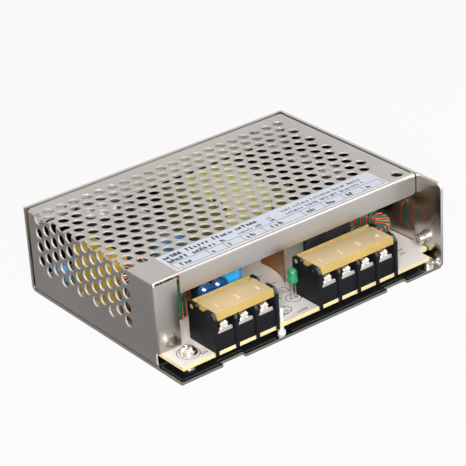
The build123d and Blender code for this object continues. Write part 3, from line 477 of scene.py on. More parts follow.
# Making of meshes
class Shaper:
    """Makes meshes from plain outlines and turns them into objects of the scene.

    Faces nearer to each other than the flat angle are one face. Edges over the rounded angle are
    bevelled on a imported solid, and those over the eased angle on a new one. A profile point within
    the axis radius is a tip. A line steeper than steep takes its sideways direction from X.
    """

    flat_angle = math.radians(1.0)
    rounded_angle = math.radians(30.0)
    eased_angle = math.radians(25.0)
    edge_profile = 0.6
    axis_radius = 1e-6
    steep = 0.9

    def __init__(self, effects: EffectLibrary) -> None:
        """Keep the effects that the finishes need."""
        self.effects = effects

    def piece(self, name: str, mesh: bmesh.types.BMesh, finish: Finish, body: str = "case",
              smooth: float = 35.0) -> bpy.types.Object:
        """Turn a mesh in millimetres into a dressed object that rides on a body.

        Args:
            name: The object's name.
            mesh: The mesh, which is freed here.
            finish: Its finish.
            body: The body that it rides on.
            smooth: Largest angle in degrees that is shaded smooth.

        Returns:
            The object.
        """
        bmesh.ops.recalc_face_normals(mesh, faces=mesh.faces[:])
        for vertex in mesh.verts:
            vertex.co *= MM
        limit = math.radians(smooth)
        for face in mesh.faces:
            face.smooth = True
        for edge in mesh.edges:
            edge.smooth = len(edge.link_faces) == 2 and edge.calc_face_angle(0.0) < limit
        data = bpy.data.meshes.new(name)
        mesh.to_mesh(data)
        mesh.free()
        thing = bpy.data.objects.new(name, data)
        bpy.context.scene.collection.objects.link(thing)
        data.materials.append(finish.build(self.effects))
        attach(thing, body)
        return thing

    def paint(self, piece: bpy.types.Object, finish: Finish,
              chosen: Callable[[Vector, Vector], bool]) -> None:
        """Give some faces of a piece another finish.

        Args:
            piece: The piece.
            finish: The other finish.
            chosen: Tells, from a face's middle in millimetres and its normal, whether it takes the finish.
        """
        piece.data.materials.append(finish.build(self.effects))
        index = len(piece.data.materials) - 1
        for face in piece.data.polygons:
            if chosen(face.center / MM, face.normal):
                face.material_index = index

    def edged_copy(self, node: bpy.types.Object, name: str, finish: Finish, body: str, width: float,
                   segments: int) -> bpy.types.Object:
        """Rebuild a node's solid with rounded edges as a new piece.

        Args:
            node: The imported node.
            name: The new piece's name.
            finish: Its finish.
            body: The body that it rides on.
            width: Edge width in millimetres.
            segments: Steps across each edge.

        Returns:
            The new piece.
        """
        mesh = bmesh.new()
        mesh.from_mesh(node.data)
        mesh.transform(node.matrix_world)
        for vertex in mesh.verts:
            vertex.co /= MM
        bmesh.ops.remove_doubles(mesh, verts=mesh.verts[:], dist=PACKED_WELD)
        bmesh.ops.dissolve_limit(mesh, angle_limit=self.flat_angle, verts=mesh.verts[:], edges=mesh.edges[:])
        sharp = [edge for edge in mesh.edges
                 if len(edge.link_faces) == 2 and edge.calc_face_angle(0.0) > self.rounded_angle]
        bmesh.ops.bevel(mesh, geom=sharp, offset=width, offset_type="OFFSET", segments=segments,
                        profile=self.edge_profile, affect="EDGES", clamp_overlap=True)
        return self.piece(name, mesh, finish, body)

    def score(self, piece: bpy.types.Object, place: Point, normal: Point) -> None:
        """Divide a piece's faces along a plane, so that each side can be painted by itself.

        Args:
            piece: The piece.
            place: A point of the plane, in millimetres.
            normal: The plane's normal.
        """
        mesh = bmesh.new()
        mesh.from_mesh(piece.data)
        geometry = [*mesh.verts, *mesh.edges, *mesh.faces]
        bmesh.ops.bisect_plane(mesh, geom=geometry, plane_co=Vector(place) * MM, plane_no=normal)
        mesh.to_mesh(piece.data)
        mesh.free()

    def paint_edges(self, piece: bpy.types.Object, finish: Finish, least: float = 0.3) -> None:
        """Give the eased edges of a blocky piece another finish.

        Args:
            piece: The piece.
            finish: The edges' finish.
            least: How far a face's normal leans off the three axes before it counts as an edge.
        """
        self.paint(piece, finish, lambda middle, normal: sum(abs(share) > least for share in normal) > 1)

    def lathe(self, profile: Sequence[Flat], centre: Point, steps: int = 32) -> bmesh.types.BMesh:
        """Turn a profile about a vertical axis.

        Args:
            profile: Radius and height of each point, from the axis outwards and back.
            centre: Place of the axis and the zero height.
            steps: Number of sides.

        Returns:
            A closed mesh in millimetres.
        """
        mesh = bmesh.new()
        rings: list[list[bmesh.types.BMVert]] = []
        for radius, height in profile:
            if radius < self.axis_radius:
                rings.append([mesh.verts.new((centre[0], centre[1], centre[2] + height))])
                continue
            rings.append([
                mesh.verts.new((centre[0] + radius * math.cos(2 * math.pi * step / steps),
                                centre[1] + radius * math.sin(2 * math.pi * step / steps),
                                centre[2] + height))
                for step in range(steps)
            ])
        for lower, upper in zip(rings, rings[1:]):
            for step in range(steps):
                after = (step + 1) % steps
                if len(lower) == 1:
                    mesh.faces.new((lower[0], upper[step], upper[after]))
                elif len(upper) == 1:
                    mesh.faces.new((lower[step], lower[after], upper[0]))
                else:
                    mesh.faces.new((lower[step], lower[after], upper[after], upper[step]))
        return mesh

    def prism(self, outline: Sequence[Flat], start: float, end: float,
              place: Callable[[float, float, float], Point], edge: float = 0.0) -> bmesh.types.BMesh:
        """Stretch an outline between two planes, with its edges eased.

        Args:
            outline: Corners of the outline.
            start: Where it begins along its own axis.
            end: Where it ends.
            place: Turns an outline point and a distance along the axis into a point.
            edge: Width of the eased edges.

        Returns:
            A closed mesh in millimetres.
        """
        mesh = bmesh.new()
        ends = [[mesh.verts.new(place(u, v, along)) for u, v in outline] for along in (start, end)]
        mesh.faces.new(ends[0])
        mesh.faces.new(ends[1])
        count = len(outline)
        for index in range(count):
            after = (index + 1) % count
            mesh.faces.new((ends[0][index], ends[0][after], ends[1][after], ends[1][index]))
        if edge > 0:
            sharp = [side for side in mesh.edges if side.calc_face_angle(0.0) > self.eased_angle]
            bmesh.ops.recalc_face_normals(mesh, faces=mesh.faces[:])
            bmesh.ops.bevel(mesh, geom=sharp, offset=edge, segments=2, profile=self.edge_profile,
                            affect="EDGES", clamp_overlap=True)
        return mesh

    def box(self, low: Point, high: Point, edge: float = 0.0) -> bmesh.types.BMesh:
        """Make a block with eased edges between two corners."""
        outline = [(low[0], low[1]), (high[0], low[1]), (high[0], high[1]), (low[0], high[1])]
        return self.prism(outline, low[2], high[2], lambda u, v, along: (u, v, along), edge)

    def loop(self, points: Sequence[Point], size: float, sides: int = 10) -> bmesh.types.BMesh:
        """Sweep a round section along a line that ends where it starts.

        Args:
            points: Centre line.
            size: Diameter of the wire.
            sides: Sides of the round section.

        Returns:
            A closed mesh in millimetres.
        """
        mesh = bmesh.new()
        line = [Vector(point) for point in points]
        count = len(line)
        rings: list[list[bmesh.types.BMVert]] = []
        side_way: Optional[Vector] = None
        for index in range(count):
            ahead = (line[(index + 1) % count] - line[index - 1]).normalized()
            if side_way is None:
                guess = Vector((0.0, 0.0, 1.0)) if abs(ahead.z) < self.steep else Vector((1.0, 0.0, 0.0))
                side_way = ahead.cross(guess).normalized()
            side_way = (side_way - ahead * side_way.dot(ahead)).normalized()
            up_way = ahead.cross(side_way)
            spokes = [side_way * math.cos(turn) + up_way * math.sin(turn)
                      for turn in (2 * math.pi * step / sides for step in range(sides))]
            rings.append([mesh.verts.new(line[index] + spoke * size / 2) for spoke in spokes])
        first, last = rings[0], rings[-1]
        shift = min(range(sides), key=lambda step: (first[step].co - last[0].co).length)
        for lower, upper in [*zip(rings, rings[1:]), (last, first[shift:] + first[:shift])]:
            for step in range(sides):
                after = (step + 1) % sides
                mesh.faces.new((lower[step], lower[after], upper[after], upper[step]))
        return mesh

    def join(self, meshes: Iterable[bmesh.types.BMesh]) -> bmesh.types.BMesh:
        """Put several meshes into one and free them.

        Args:
            meshes: The meshes, in order.

        Returns:
            The mesh that holds them all.
        """
        whole = bmesh.new()
        for mesh in meshes:
            data = bpy.data.meshes.new("part")
            mesh.to_mesh(data)
            mesh.free()
            whole.from_mesh(data)
            bpy.data.meshes.remove(data)
        return whole


def mesh_of(curve: bpy.types.Curve, weld: float) -> bmesh.types.BMesh:
    """Turn a curve or a text into a mesh and delete the curve.

    Args:
        curve: The curve's data.
        weld: Distance under which points are merged.

    Returns:
        The mesh.
    """
    holder = bpy.data.objects.new(curve.name, curve)
    bpy.context.scene.collection.objects.link(holder)
    bpy.context.view_layer.update()
    shape = bpy.data.meshes.new_from_object(holder.evaluated_get(bpy.context.evaluated_depsgraph_get()))
    bpy.data.objects.remove(holder)
    bpy.data.curves.remove(curve)
    mesh = bmesh.new()
    mesh.from_mesh(shape)
    bpy.data.meshes.remove(shape)
    bmesh.ops.remove_doubles(mesh, verts=mesh.verts[:], dist=weld)
    return mesh


def rounded(corners: Sequence[Flat], radii: Sequence[float], steps: int = 5) -> list[Flat]:
    """Round the corners of an outline.

    Args:
        corners: Corners of the outline.
        radii: Radius at each corner, zero for a sharp one.
        steps: Points on each arc.

    Returns:
        The outline with an arc at each rounded corner.
    """
    line: list[Flat] = []
    count = len(corners)
    for index, (corner, radius) in enumerate(zip(corners, radii)):
        here = Vector(corner)
        before = (Vector(corners[index - 1]) - here).normalized()
        after = (Vector(corners[(index + 1) % count]) - here).normalized()
        if radius <= 0:
            line.append((here.x, here.y))
            continue
        angle = before.angle(after)
        reach = radius / math.tan(angle / 2)
        centre = here + (before + after).normalized() * (radius / math.sin(angle / 2))
        first = here + before * reach - centre
        last = here + after * reach - centre
        sweep = first.angle_signed(last)
        for step in range(steps + 1):
            turned = first.copy()
            turned.rotate(Matrix.Rotation(-sweep * step / steps, 2))
            line.append((centre.x + turned.x, centre.y + turned.y))
    return line


# Folded sheet metal
@dataclass
class FoldedSheet:
    """A sheet folded at right angles along parallel lines from one flat pattern."""

    corners: Sequence[Flat]
    sheet: float
    bend: float
    inner_side: int = 1
    edge: float = 0.06
    hole_sides: int = 24
    bend_steps: int = 6
    cut_reach: float = 0.0002
    arc: float = field(init=False)
    lengths: list[float] = field(init=False)

    def __post_init__(self) -> None:
        """Work out where each flat run and each bend begins along the pattern."""
        self.arc = (self.bend - self.sheet / 2) * math.pi / 2
        self.lengths = []
        last = len(self.corners) - 2
        for index in range(last + 1):
            run = (Vector(self.corners[index + 1]) - Vector(self.corners[index])).length
            run -= self.bend * ((index > 0) + (index < last))
            self.lengths.append(run)

    def starts(self) -> list[float]:
        """Work out where the flat runs lie.

        Returns:
            The pattern length at which each flat run begins.
        """
        found = [0.0]
        for run in self.lengths[:-1]:
            found.append(found[-1] + run + self.arc)
        return found

    def total(self) -> float:
        """Give the whole pattern length."""
        return self.starts()[-1] + self.lengths[-1]

    def strip(self, low: float, high: float) -> list[Flat]:
        """Give the pattern's whole length between two positions along the folds, as an outline."""
        total = self.total()
        return [(0.0, low), (total, low), (total, high), (0.0, high)]

    def cuts(self) -> list[float]:
        """Work out where the flat mesh is cut so that it can bend.

        Returns:
            The pattern lengths of the cuts, in order.
        """
        found: list[float] = []
        for begin in self.starts()[1:]:
            found += [begin - self.arc * (1 - step / self.bend_steps) for step in range(self.bend_steps + 1)]
        return found

    def fold(self, along: float, depth: float) -> Flat:
        """Place a point of the pattern on the folded section.

        Args:
            along: Length along the pattern.
            depth: Distance below the outer face.

        Returns:
            The point in the plane of the section.
        """
        starts = self.starts()
        for index, begin in enumerate(starts):
            here, there = Vector(self.corners[index]), Vector(self.corners[index + 1])
            ahead = (there - here).normalized()
            inward = Vector((-ahead.y, ahead.x)) * self.inner_side
            lead = self.bend if index > 0 else 0.0
            run = self.lengths[index]
            if along <= begin + run or index == len(starts) - 1:
                point = here + ahead * (lead + along - begin) + inward * depth
                return point.x, point.y
            if along < starts[index + 1]:
                share = (along - begin - run) / self.arc * math.pi / 2
                centre = here + ahead * (lead + run) + inward * self.bend
                reach = self.bend - depth
                point = centre - inward * reach * math.cos(share) + ahead * reach * math.sin(share)
                return point.x, point.y
        raise ValueError("the point lies off the pattern")

    def build(self, outline: Sequence[Flat], holes: Sequence[tuple[float, float, float]],
              place: Callable[[float, float, float], Point]) -> bmesh.types.BMesh:
        """Cut the flat pattern, fold it and put it in place.

        Args:
            outline: Edge of the pattern, as pattern length and position along the folds.
            holes: Pattern length, position and radius of each round hole.
            place: Turns a section point and a position along the folds into a point.

        Returns:
            A closed mesh in millimetres.
        """
        curve = bpy.data.curves.new("pattern", "CURVE")
        curve.dimensions = "2D"
        curve.fill_mode = "BOTH"
        curve.extrude = self.sheet / 2 - self.edge
        curve.bevel_depth = self.edge
        curve.bevel_resolution = 0
        curve.offset = -self.edge
        rings = [list(outline)]
        turns = [2 * math.pi * (step + 0.5) / self.hole_sides for step in range(self.hole_sides)]
        for along, across, radius in holes:
            rings.append([(along + radius * math.cos(turn), across + radius * math.sin(turn))
                          for turn in turns])
        for ring in rings:
            spline = curve.splines.new("POLY")
            spline.points.add(len(ring) - 1)
            for point, (u, v) in zip(spline.points, ring):
                point.co = (u, v, 0.0, 1.0)
            spline.use_cyclic_u = True
        mesh = mesh_of(curve, PATTERN_WELD)
        for cut in self.cuts():
            bmesh.ops.bisect_plane(mesh, geom=mesh.verts[:] + mesh.edges[:] + mesh.faces[:],
                                   dist=self.cut_reach, plane_co=(cut, 0, 0), plane_no=(1, 0, 0))
        for vertex in mesh.verts:
            u, v = self.fold(vertex.co.x, self.sheet / 2 - vertex.co.z)
            vertex.co = place(u, v, vertex.co.y)
        return mesh


# Sub-assemblies
@dataclass
class Assembly:
    """What every sub-assembly needs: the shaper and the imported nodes."""

    shaper: Shaper
    nodes: dict[str, bpy.types.Object]

    def rework(self, node: str, finish: Finish, width: float, body: str = "case",
               segments: int = 2) -> bpy.types.Object:
        """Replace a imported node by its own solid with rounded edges.

        Args:
            node: The node's name.
            finish: Its finish.
            width: Edge width in millimetres.
            body: The body that it rides on.
            segments: Steps across each edge.

        Returns:
            The new piece.
        """
        piece = self.shaper.edged_copy(self.nodes[node], f"{node}_dressed", finish, body, width, segments)
        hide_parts(node)
        LOG.info("%s: %d faces", piece.name, len(piece.data.polygons))
        return piece

    def stand_in(self, name: str, mesh: bmesh.types.BMesh, finish: Finish, *nodes: str,
                 body: str = "case", smooth: float = 35.0) -> bpy.types.Object:
        """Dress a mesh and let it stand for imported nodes.

        Args:
            name: The piece's name.
            mesh: Its mesh in millimetres.
            finish: Its finish.
            *nodes: The nodes that it stands for.
            body: The body that it rides on.
            smooth: Largest angle in degrees that is shaded smooth.

        Returns:
            The piece.
        """
        piece = self.shaper.piece(name, mesh, finish, body, smooth=smooth)
        if nodes:
            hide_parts(*nodes)
        LOG.info("%s: %d faces", piece.name, len(piece.data.polygons))
        return piece


@dataclass
class Cover(Assembly):
    """Perforated cover: the folded sheet, its front lip and its flanges.

    Left, right, front, back and top are its outer faces. Even and odd rows of holes start at their
    own places on the top and at their own depths on the left wall. The lip and the flanges reach
    under the main sheet by the overlap and lie inside of its faces by the tuck.
    """

    left: float = -64.5
    right: float = 63.0
    front: float = -35.1
    back: float = 47.5
    top: float = 36.5
    foot: float = 1.2
    sheet: float = 0.8
    bend: float = 1.5
    flange: float = 8.0
    foot_width: float = 5.5
    lip_start: float = -52.5
    lip_height: float = 8.7
    lip_corner: float = 1.5
    flange_width: float = 10.7
    flange_bottom: float = 6.8
    slit: float = 1.8
    pitch: float = 6.0
    hole: float = 4.5
    first_row: float = 39.4
    rows: int = 12
    columns: int = 20
    first_even: float = -59.3
    first_odd: float = -62.3
    side_even: float = 1.9
    side_odd: float = 4.9
    side_holes: int = 4
    lap: float = 0.2
    overlap: float = 0.6
    tuck: float = 0.012
    screw_hole: tuple[float, float, float] = (57.6, -30.4, 2.4)
    shading: float = 20.0

    def build(self) -> None:
        """Fold every part of the cover."""
        self.main_sheet()
        self.lip()
        self.front_flange()
        self.back_flange()

    def main_sheet(self) -> None:
        """Fold the top, the left wall, the right flange and the foot from one perforated pattern."""
        corners = [(self.right, self.top - self.flange), (self.right, self.top), (self.left, self.top),
                   (self.left, self.foot), (self.left + self.foot_width, self.foot)]
        section = FoldedSheet(corners, self.sheet, self.bend)
        starts = section.starts()

        def on_top(x: float) -> float:
            """Give the pattern length of a place on the top."""
            return starts[1] + self.right - x - self.bend

        def on_side(depth: float) -> float:
            """Give the pattern length of a depth on the left wall."""
            return starts[2] + depth - self.bend

        near = self.front + self.bend - self.lap
        far = self.back - self.bend + self.lap
        outline = [(0.0, near), (on_top(self.lip_start), near), (on_top(self.lip_start), self.front),
                   (on_side(self.slit), self.front), (on_side(self.slit), near),
                   (section.total(), near), (section.total(), far), (0.0, far)]
        radius = self.hole / 2
        holes: list[tuple[float, float, float]] = []
        for row in range(self.rows):
            y = self.first_row - row * self.pitch * math.sqrt(3) / 2
            first, depth = (self.first_odd, self.side_odd) if row % 2 else (self.first_even, self.side_even)
            holes += [(on_top(first + column * self.pitch), y, radius) for column in range(self.columns)]
            holes += [(on_side(depth + number * self.pitch), y, radius) for number in range(self.side_holes)]
        x, y, screw_radius = self.screw_hole
        holes.append((on_top(x), y, screw_radius))
        mesh = section.build(outline, holes, lambda u, v, along: (u, along, v))
        folded = self.stand_in("cover_sheet", mesh, COVER_STEEL, "top_cover", smooth=self.shading)
        # Painted highlight: the punched hole walls and cut edges are painted bright steel
        self.shaper.paint(folded, COVER_CUT_HIGHLIGHT, self.is_cut)

    def is_cut(self, middle: Vector, normal: Vector) -> bool:
        """Tell whether a face is a punched one, through the top or the left wall.

        Args:
            middle: The face's middle in millimetres.
            normal: Its normal.

        Returns:
            Whether it's the edge of a hole.
        """
        in_top = middle.z > self.top - self.sheet and abs(normal.z) < ACROSS
        in_side = middle.x < self.left + self.sheet and abs(normal.x) < ACROSS
        return in_top or in_side

    def lip(self) -> None:
        """Fold the front lip, with its rounded lower right corner."""
        corners = [(self.front + self.bend + self.overlap, self.top), (self.front, self.top),
                   (self.front, self.top - self.lip_height)]
        section = FoldedSheet(corners, self.sheet, self.bend)
        outline = rounded(section.strip(self.lip_start, self.right), [0.0, 0.0, self.lip_corner, 0.0])
        mesh = section.build(outline, [], lambda u, v, along: (along, u, v - self.tuck))
        self.stand_in("cover_lip", mesh, COVER_STEEL, smooth=self.shading)

    def front_flange(self) -> None:
        """Fold the narrow flange beside the lip."""
        corners = [(self.left, self.front + self.bend + self.overlap), (self.left, self.front),
                   (self.left + self.flange_width, self.front)]
        section = FoldedSheet(corners, self.sheet, self.bend)
        outline = section.strip(self.flange_bottom, self.top - self.slit)
        mesh = section.build(outline, [], lambda u, v, along: (u + self.tuck, v, along))
        self.stand_in("cover_front_flange", mesh, COVER_STEEL, smooth=self.shading)

    def back_flange(self) -> None:
        """Fold the flange that the back wall's screws hold."""
        corners = [(self.back - self.bend - self.overlap, self.top), (self.back, self.top),
                   (self.back, self.top - self.flange)]
        section = FoldedSheet(corners, self.sheet, self.bend, inner_side=-1)
        outline = section.strip(self.left + self.bend, self.right - self.bend)
        mesh = section.build(outline, [], lambda u, v, along: (along, u, v - self.tuck))
        flange = self.stand_in("cover_back_flange", mesh, COVER_STEEL, smooth=self.shading)
        # Painted light: the flange's inner face is painted pale steel
        self.shaper.paint(flange, COVER_PAINTED_LIGHT, lambda middle, normal: normal.y < -MOSTLY)


@dataclass
class Label(Assembly):
    """Pale label on the cover, printed with plain rules and unreadable rows.

    Each of its rows has a start from the left edge, a base line from the back edge, a height, a
    length and a stroke weight. A glyph's proportions are shares of its height.
    """

    left: float = -52.5
    right: float = 50.5
    front: float = -33.5
    back: float = -20.7
    bottom: float = 36.5
    sheet: float = 0.10
    edge: float = 0.03
    ink: float = 0.015
    rule: float = 0.22
    rows: Sequence[tuple[float, float, float, float, float]] = (
        (1.6, 3.5, 2.3, 44.0, 1.10), (1.6, 6.9, 2.4, 26.0, 0.90), (34.0, 6.6, 1.5, 12.0, 0.70),
        (49.0, 4.6, 1.5, 3.0, 0.90), (49.0, 6.8, 1.5, 3.0, 0.90), (57.0, 3.6, 1.6, 40.0, 0.75),
        (57.0, 6.6, 1.6, 40.0, 0.75))
    word: tuple[int, int] = (3, 8)
    stroke: float = 0.16
    room: float = 0.6
    low_glyph: float = 0.7
    arm: float = 0.42
    advance: float = 0.78
    gap: float = 0.7
    tall_chance: float = 0.35
    arm_chance: float = 0.8
    leg_chance: float = 0.45
    table_side: float = 1.2
    table_low: float = 0.6
    table_high: float = 5.0
    walls: Sequence[float] = (17.0, 25.0, 33.0, 43.0, 62.0, 72.0, 82.0, 92.0)
    cell_start: float = 0.18
    cell_share: float = 0.34
    cell_base: float = 1.0
    cell_height: float = 2.4
    cell_weight: float = 0.85
    seed: int = 7

    def build(self) -> None:
        """Lay the label and its print."""
        low = (self.left, self.front, self.bottom)
        high = (self.right, self.back, self.bottom + self.sheet)
        self.stand_in("label_sheet", self.shaper.box(low, high, self.edge), LABEL_FILM, "rating_label")
        chance = random.Random(self.seed)
        marks: list[bmesh.types.BMesh] = []
        for start, base, height, length, weight in self.rows:
            marks += self.row(chance, self.left + start, self.back - base, height, length, weight)
        marks += self.table(chance)
        self.stand_in("label_print", self.shaper.join(marks), PRINT_GREY)

    def mark(self, x: float, y: float, wide: float, high: float) -> bmesh.types.BMesh:
        """Make one flat printed block with its lower left corner at a place."""
        base = self.bottom + self.sheet
        return self.shaper.box((x, y, base - self.ink), (x + wide, y + high, base + self.ink))

    def row(self, chance: random.Random, x: float, y: float, height: float, length: float,
            weight: float) -> list[bmesh.types.BMesh]:
        """Print one row of unreadable word shapes.

        Args:
            chance: Seeded source of the shapes.
            x: Left end.
            y: Base line.
            height: Height of the shapes.
            length: Length of the row.
            weight: Share by which the strokes are thicker than plain ones.

        Returns:
            The printed blocks.
        """
        marks: list[bmesh.types.BMesh] = []
        stroke = height * self.stroke * (1 + weight)
        at = x
        while at < x + length:
            for _ in range(chance.randint(*self.word)):
                if at + height * self.room > x + length:
                    break
                tall = height if chance.random() < self.tall_chance else height * self.low_glyph
                marks.append(self.mark(at, y, stroke, tall))
                if chance.random() < self.arm_chance:
                    level = chance.choice([0.0, tall / 2, tall - stroke])
                    marks.append(self.mark(at, y + level, height * self.arm, stroke))
                if chance.random() < self.leg_chance:
                    marks.append(self.mark(at + height * self.arm, y, stroke, tall * self.low_glyph))
                at += height * self.advance
            at += height * self.gap
        return marks

    def table(self, chance: random.Random) -> list[bmesh.types.BMesh]:
        """Print the ruled cells along the label's front edge.

        Args:
            chance: Seeded source of the word shapes in them.

        Returns:
            The printed blocks.
        """
        low, high = self.front + self.table_low, self.front + self.table_high
        ends = (self.left + self.table_side, self.right - self.table_side)
        marks = [self.mark(ends[0], y, ends[1] - ends[0], self.rule) for y in (low, high)]
        walls = [ends[0], *(self.left + wall for wall in self.walls), ends[1] - self.rule]
        marks += [self.mark(x, low, self.rule, high - low) for x in walls]
        for here, there in zip(walls, walls[1:]):
            span = there - here
            marks += self.row(chance, here + span * self.cell_start, low + self.cell_base, self.cell_height,
                              span * self.cell_share, self.cell_weight)
        return marks


@dataclass
class Chassis(Assembly):
    """Bright chassis with its inserts, screws and insulation.

    The inside values bound the part of the back wall's inner face that shows through the holes, which is
    painted dark as painted shade, and the lit ones its upper right part, which is painted pale as painted
    light.
    """

    edge: float = 0.12
    inside_from: float = 40.0
    inside_left: float = -63.2
    inside_top: float = 35.3
    lit_from: float = -32.0
    lit_above: float = 25.0

    def build(self) -> None:
        """Dress the chassis and what is fixed to it."""
        sheet = self.rework("chassis", CHASSIS_STEEL, width=self.edge)
        # Painted highlight: the chassis's eased edges are painted brighter steel
        self.shaper.paint_edges(sheet, EDGE_PAINTED_HIGHLIGHT)
        for x in (self.inside_left, self.lit_from):
            self.shaper.score(sheet, (x, 0, 0), (1, 0, 0))
        for z in (self.lit_above, self.inside_top):
            self.shaper.score(sheet, (0, 0, z), (0, 0, 1))
        # Painted shade on the back wall's inner face, and painted light on its upper right part
        self.shaper.paint(sheet, CHASSIS_SHADED, self.is_inside)
        self.shaper.paint(sheet, CHASSIS_PAINTED_LIGHT, self.is_lit)
        self.rework("cover_screws", SCREW_STEEL, width=0.06)
        self.rework("side_inserts", INSERT_STEEL, width=0.12)
        self.rework("base_insert", INSERT_STEEL, width=0.12)
        self.rework("insulation_sheet", FILM_BLACK, width=0.03)

    def is_inside(self, middle: Vector, normal: Vector) -> bool:
        """Tell whether a face is the back wall's inner one under the cover, which is painted dark as painted
        shade.
        """
        faces_in = normal.y < -STRAIGHT and middle.y > self.inside_from
        return faces_in and middle.x > self.inside_left and middle.z < self.inside_top

    def is_lit(self, middle: Vector, normal: Vector) -> bool:
        """Tell whether a face is in the upper right part of the back wall's inner one, painted pale as
        painted light.
        """
        return self.is_inside(middle, normal) and middle.x > self.lit_from and middle.z > self.lit_above


@dataclass
class Board(Assembly):
    """Circuit board with its print, fixings and support post.

    A printed row has its left end, its base line and its length, a ring its middle and radius.
    """

    top: float = 6.5
    sunk: float = 0.1
    ink: float = 0.02
    stroke: float = 0.30
    outline: tuple[Flat, Flat] = ((-11.0, -30.5), (1.5, -27.0))
    lines: Sequence[tuple[Flat, Flat]] = (((-13.0, -22.0), (2.0, -22.0)), ((-13.0, -14.5), (1.0, -14.5)))
    rows: Sequence[tuple[float, float, float]] = (
        (-12.0, -25.8, 10.0), (-12.5, -20.6, 12.0), (-12.0, -17.4, 9.0), (-7.0, -46.2, 5.0),
        (-10.0, -29.4, 9.5), (-10.5, -33.4, 6.0), (-12.0, -12.6, 8.0), (-14.0, -44.4, 4.0),
        (50.0, -36.4, 4.5), (51.0, -39.4, 3.0), (-61.0, -33.0, 7.0), (-51.8, -45.5, 2.4))
    leg_heights: tuple[float, ...] = (0.9, 1.3)
    arm_levels: tuple[float, ...] = (0.1, 0.6, 1.2)
    arm: float = 0.6
    advance: float = 1.05
    rings: Sequence[tuple[Flat, float]] = (((-1.4, -36.3), 3.0), ((-9.5, -41.0), 2.6), ((-55.2, -41.1), 4.4))
    ring_steps: int = 24
    pads: Sequence[Flat] = ((-2.67, -36.3), (-0.13, -36.3), (-9.5, -39.6), (-9.5, -42.4))
    pad_size: float = 1.6
    pad_shoulder: float = 0.35
    pad_height: float = 0.5
    seed: int = 11

    def build(self) -> None:
        """Dress the board and what fixes it."""
        board = self.rework("pcb", BOARD_CREAM, width=0.05)
        self.shaper.paint(board, BOARD_EDGE, lambda middle, normal: abs(normal.z) < MOSTLY)
        self.shaper.paint(board, BOARD_UNDER, lambda middle, normal: normal.z < -MOSTLY)
        self.rework("pcb_standoffs", INSERT_STEEL, width=0.12)
        self.rework("pcb_washers", INSERT_STEEL, width=0.06)
        self.rework("pcb_screws", SCREW_STEEL, width=0.16, segments=3)
        self.rework("nylon_post", NYLON_WHITE, width=0.12)
        self.print_marks()

    def line(self, start: Flat, end: Flat) -> bmesh.types.BMesh:
        """Print one straight stroke on the board.

        Args:
            start: One end of its middle line.
            end: The other end.

        Returns:
            A closed mesh in millimetres.
        """
        a, b = Vector(start), Vector(end)
        side = Vector((a.y - b.y, b.x - a.x)).normalized() * self.stroke / 2
        outline = [(a + side)[:], (b + side)[:], (b - side)[:], (a - side)[:]]
        return self.shaper.prism(outline, self.top - self.sunk, self.top + self.ink,
                                 lambda u, v, along: (u, v, along))

    def frame(self, low: Flat, high: Flat) -> list[bmesh.types.BMesh]:
        """Print a part's outline."""
        corners = [low, (high[0], low[1]), high, (low[0], high[1])]
        return [self.line(corners[index - 1], corners[index]) for index in range(len(corners))]

    def print_marks(self) -> None:
        """Print outlines, rings and short unreadable rows on the open parts of the board."""
        chance = random.Random(self.seed)
        marks: list[bmesh.types.BMesh] = []
        marks += self.frame(*self.outline)
        marks += [self.line(start, end) for start, end in self.lines]
        for x, y, length in self.rows:
            at = x
            while at < x + length:
                marks.append(self.line((at, y), (at, y + chance.choice(self.leg_heights))))
                level = y + chance.choice(self.arm_levels)
                marks.append(self.line((at, level), (at + self.arm, y + self.arm)))
                at += self.advance
        for centre, radius in self.rings:
            turns = [2 * math.pi * step / self.ring_steps for step in range(self.ring_steps)]
            points = [(centre[0] + radius * math.cos(turn), centre[1] + radius * math.sin(turn))
                      for turn in turns]
            marks += [self.line(points[index - 1], points[index]) for index in range(self.ring_steps)]
        self.stand_in("board_print", self.shaper.join(marks), SILK_DARK)
        profile = [(0, 0), (self.pad_size / 2, 0), (self.pad_size / 4, self.pad_shoulder),
                   (0, self.pad_height)]
        pads = [self.shaper.lathe(profile, (x, y, self.top), steps=16) for x, y in self.pads]
        self.stand_in("board_solder", self.shaper.join(pads), LEAD_TIN)


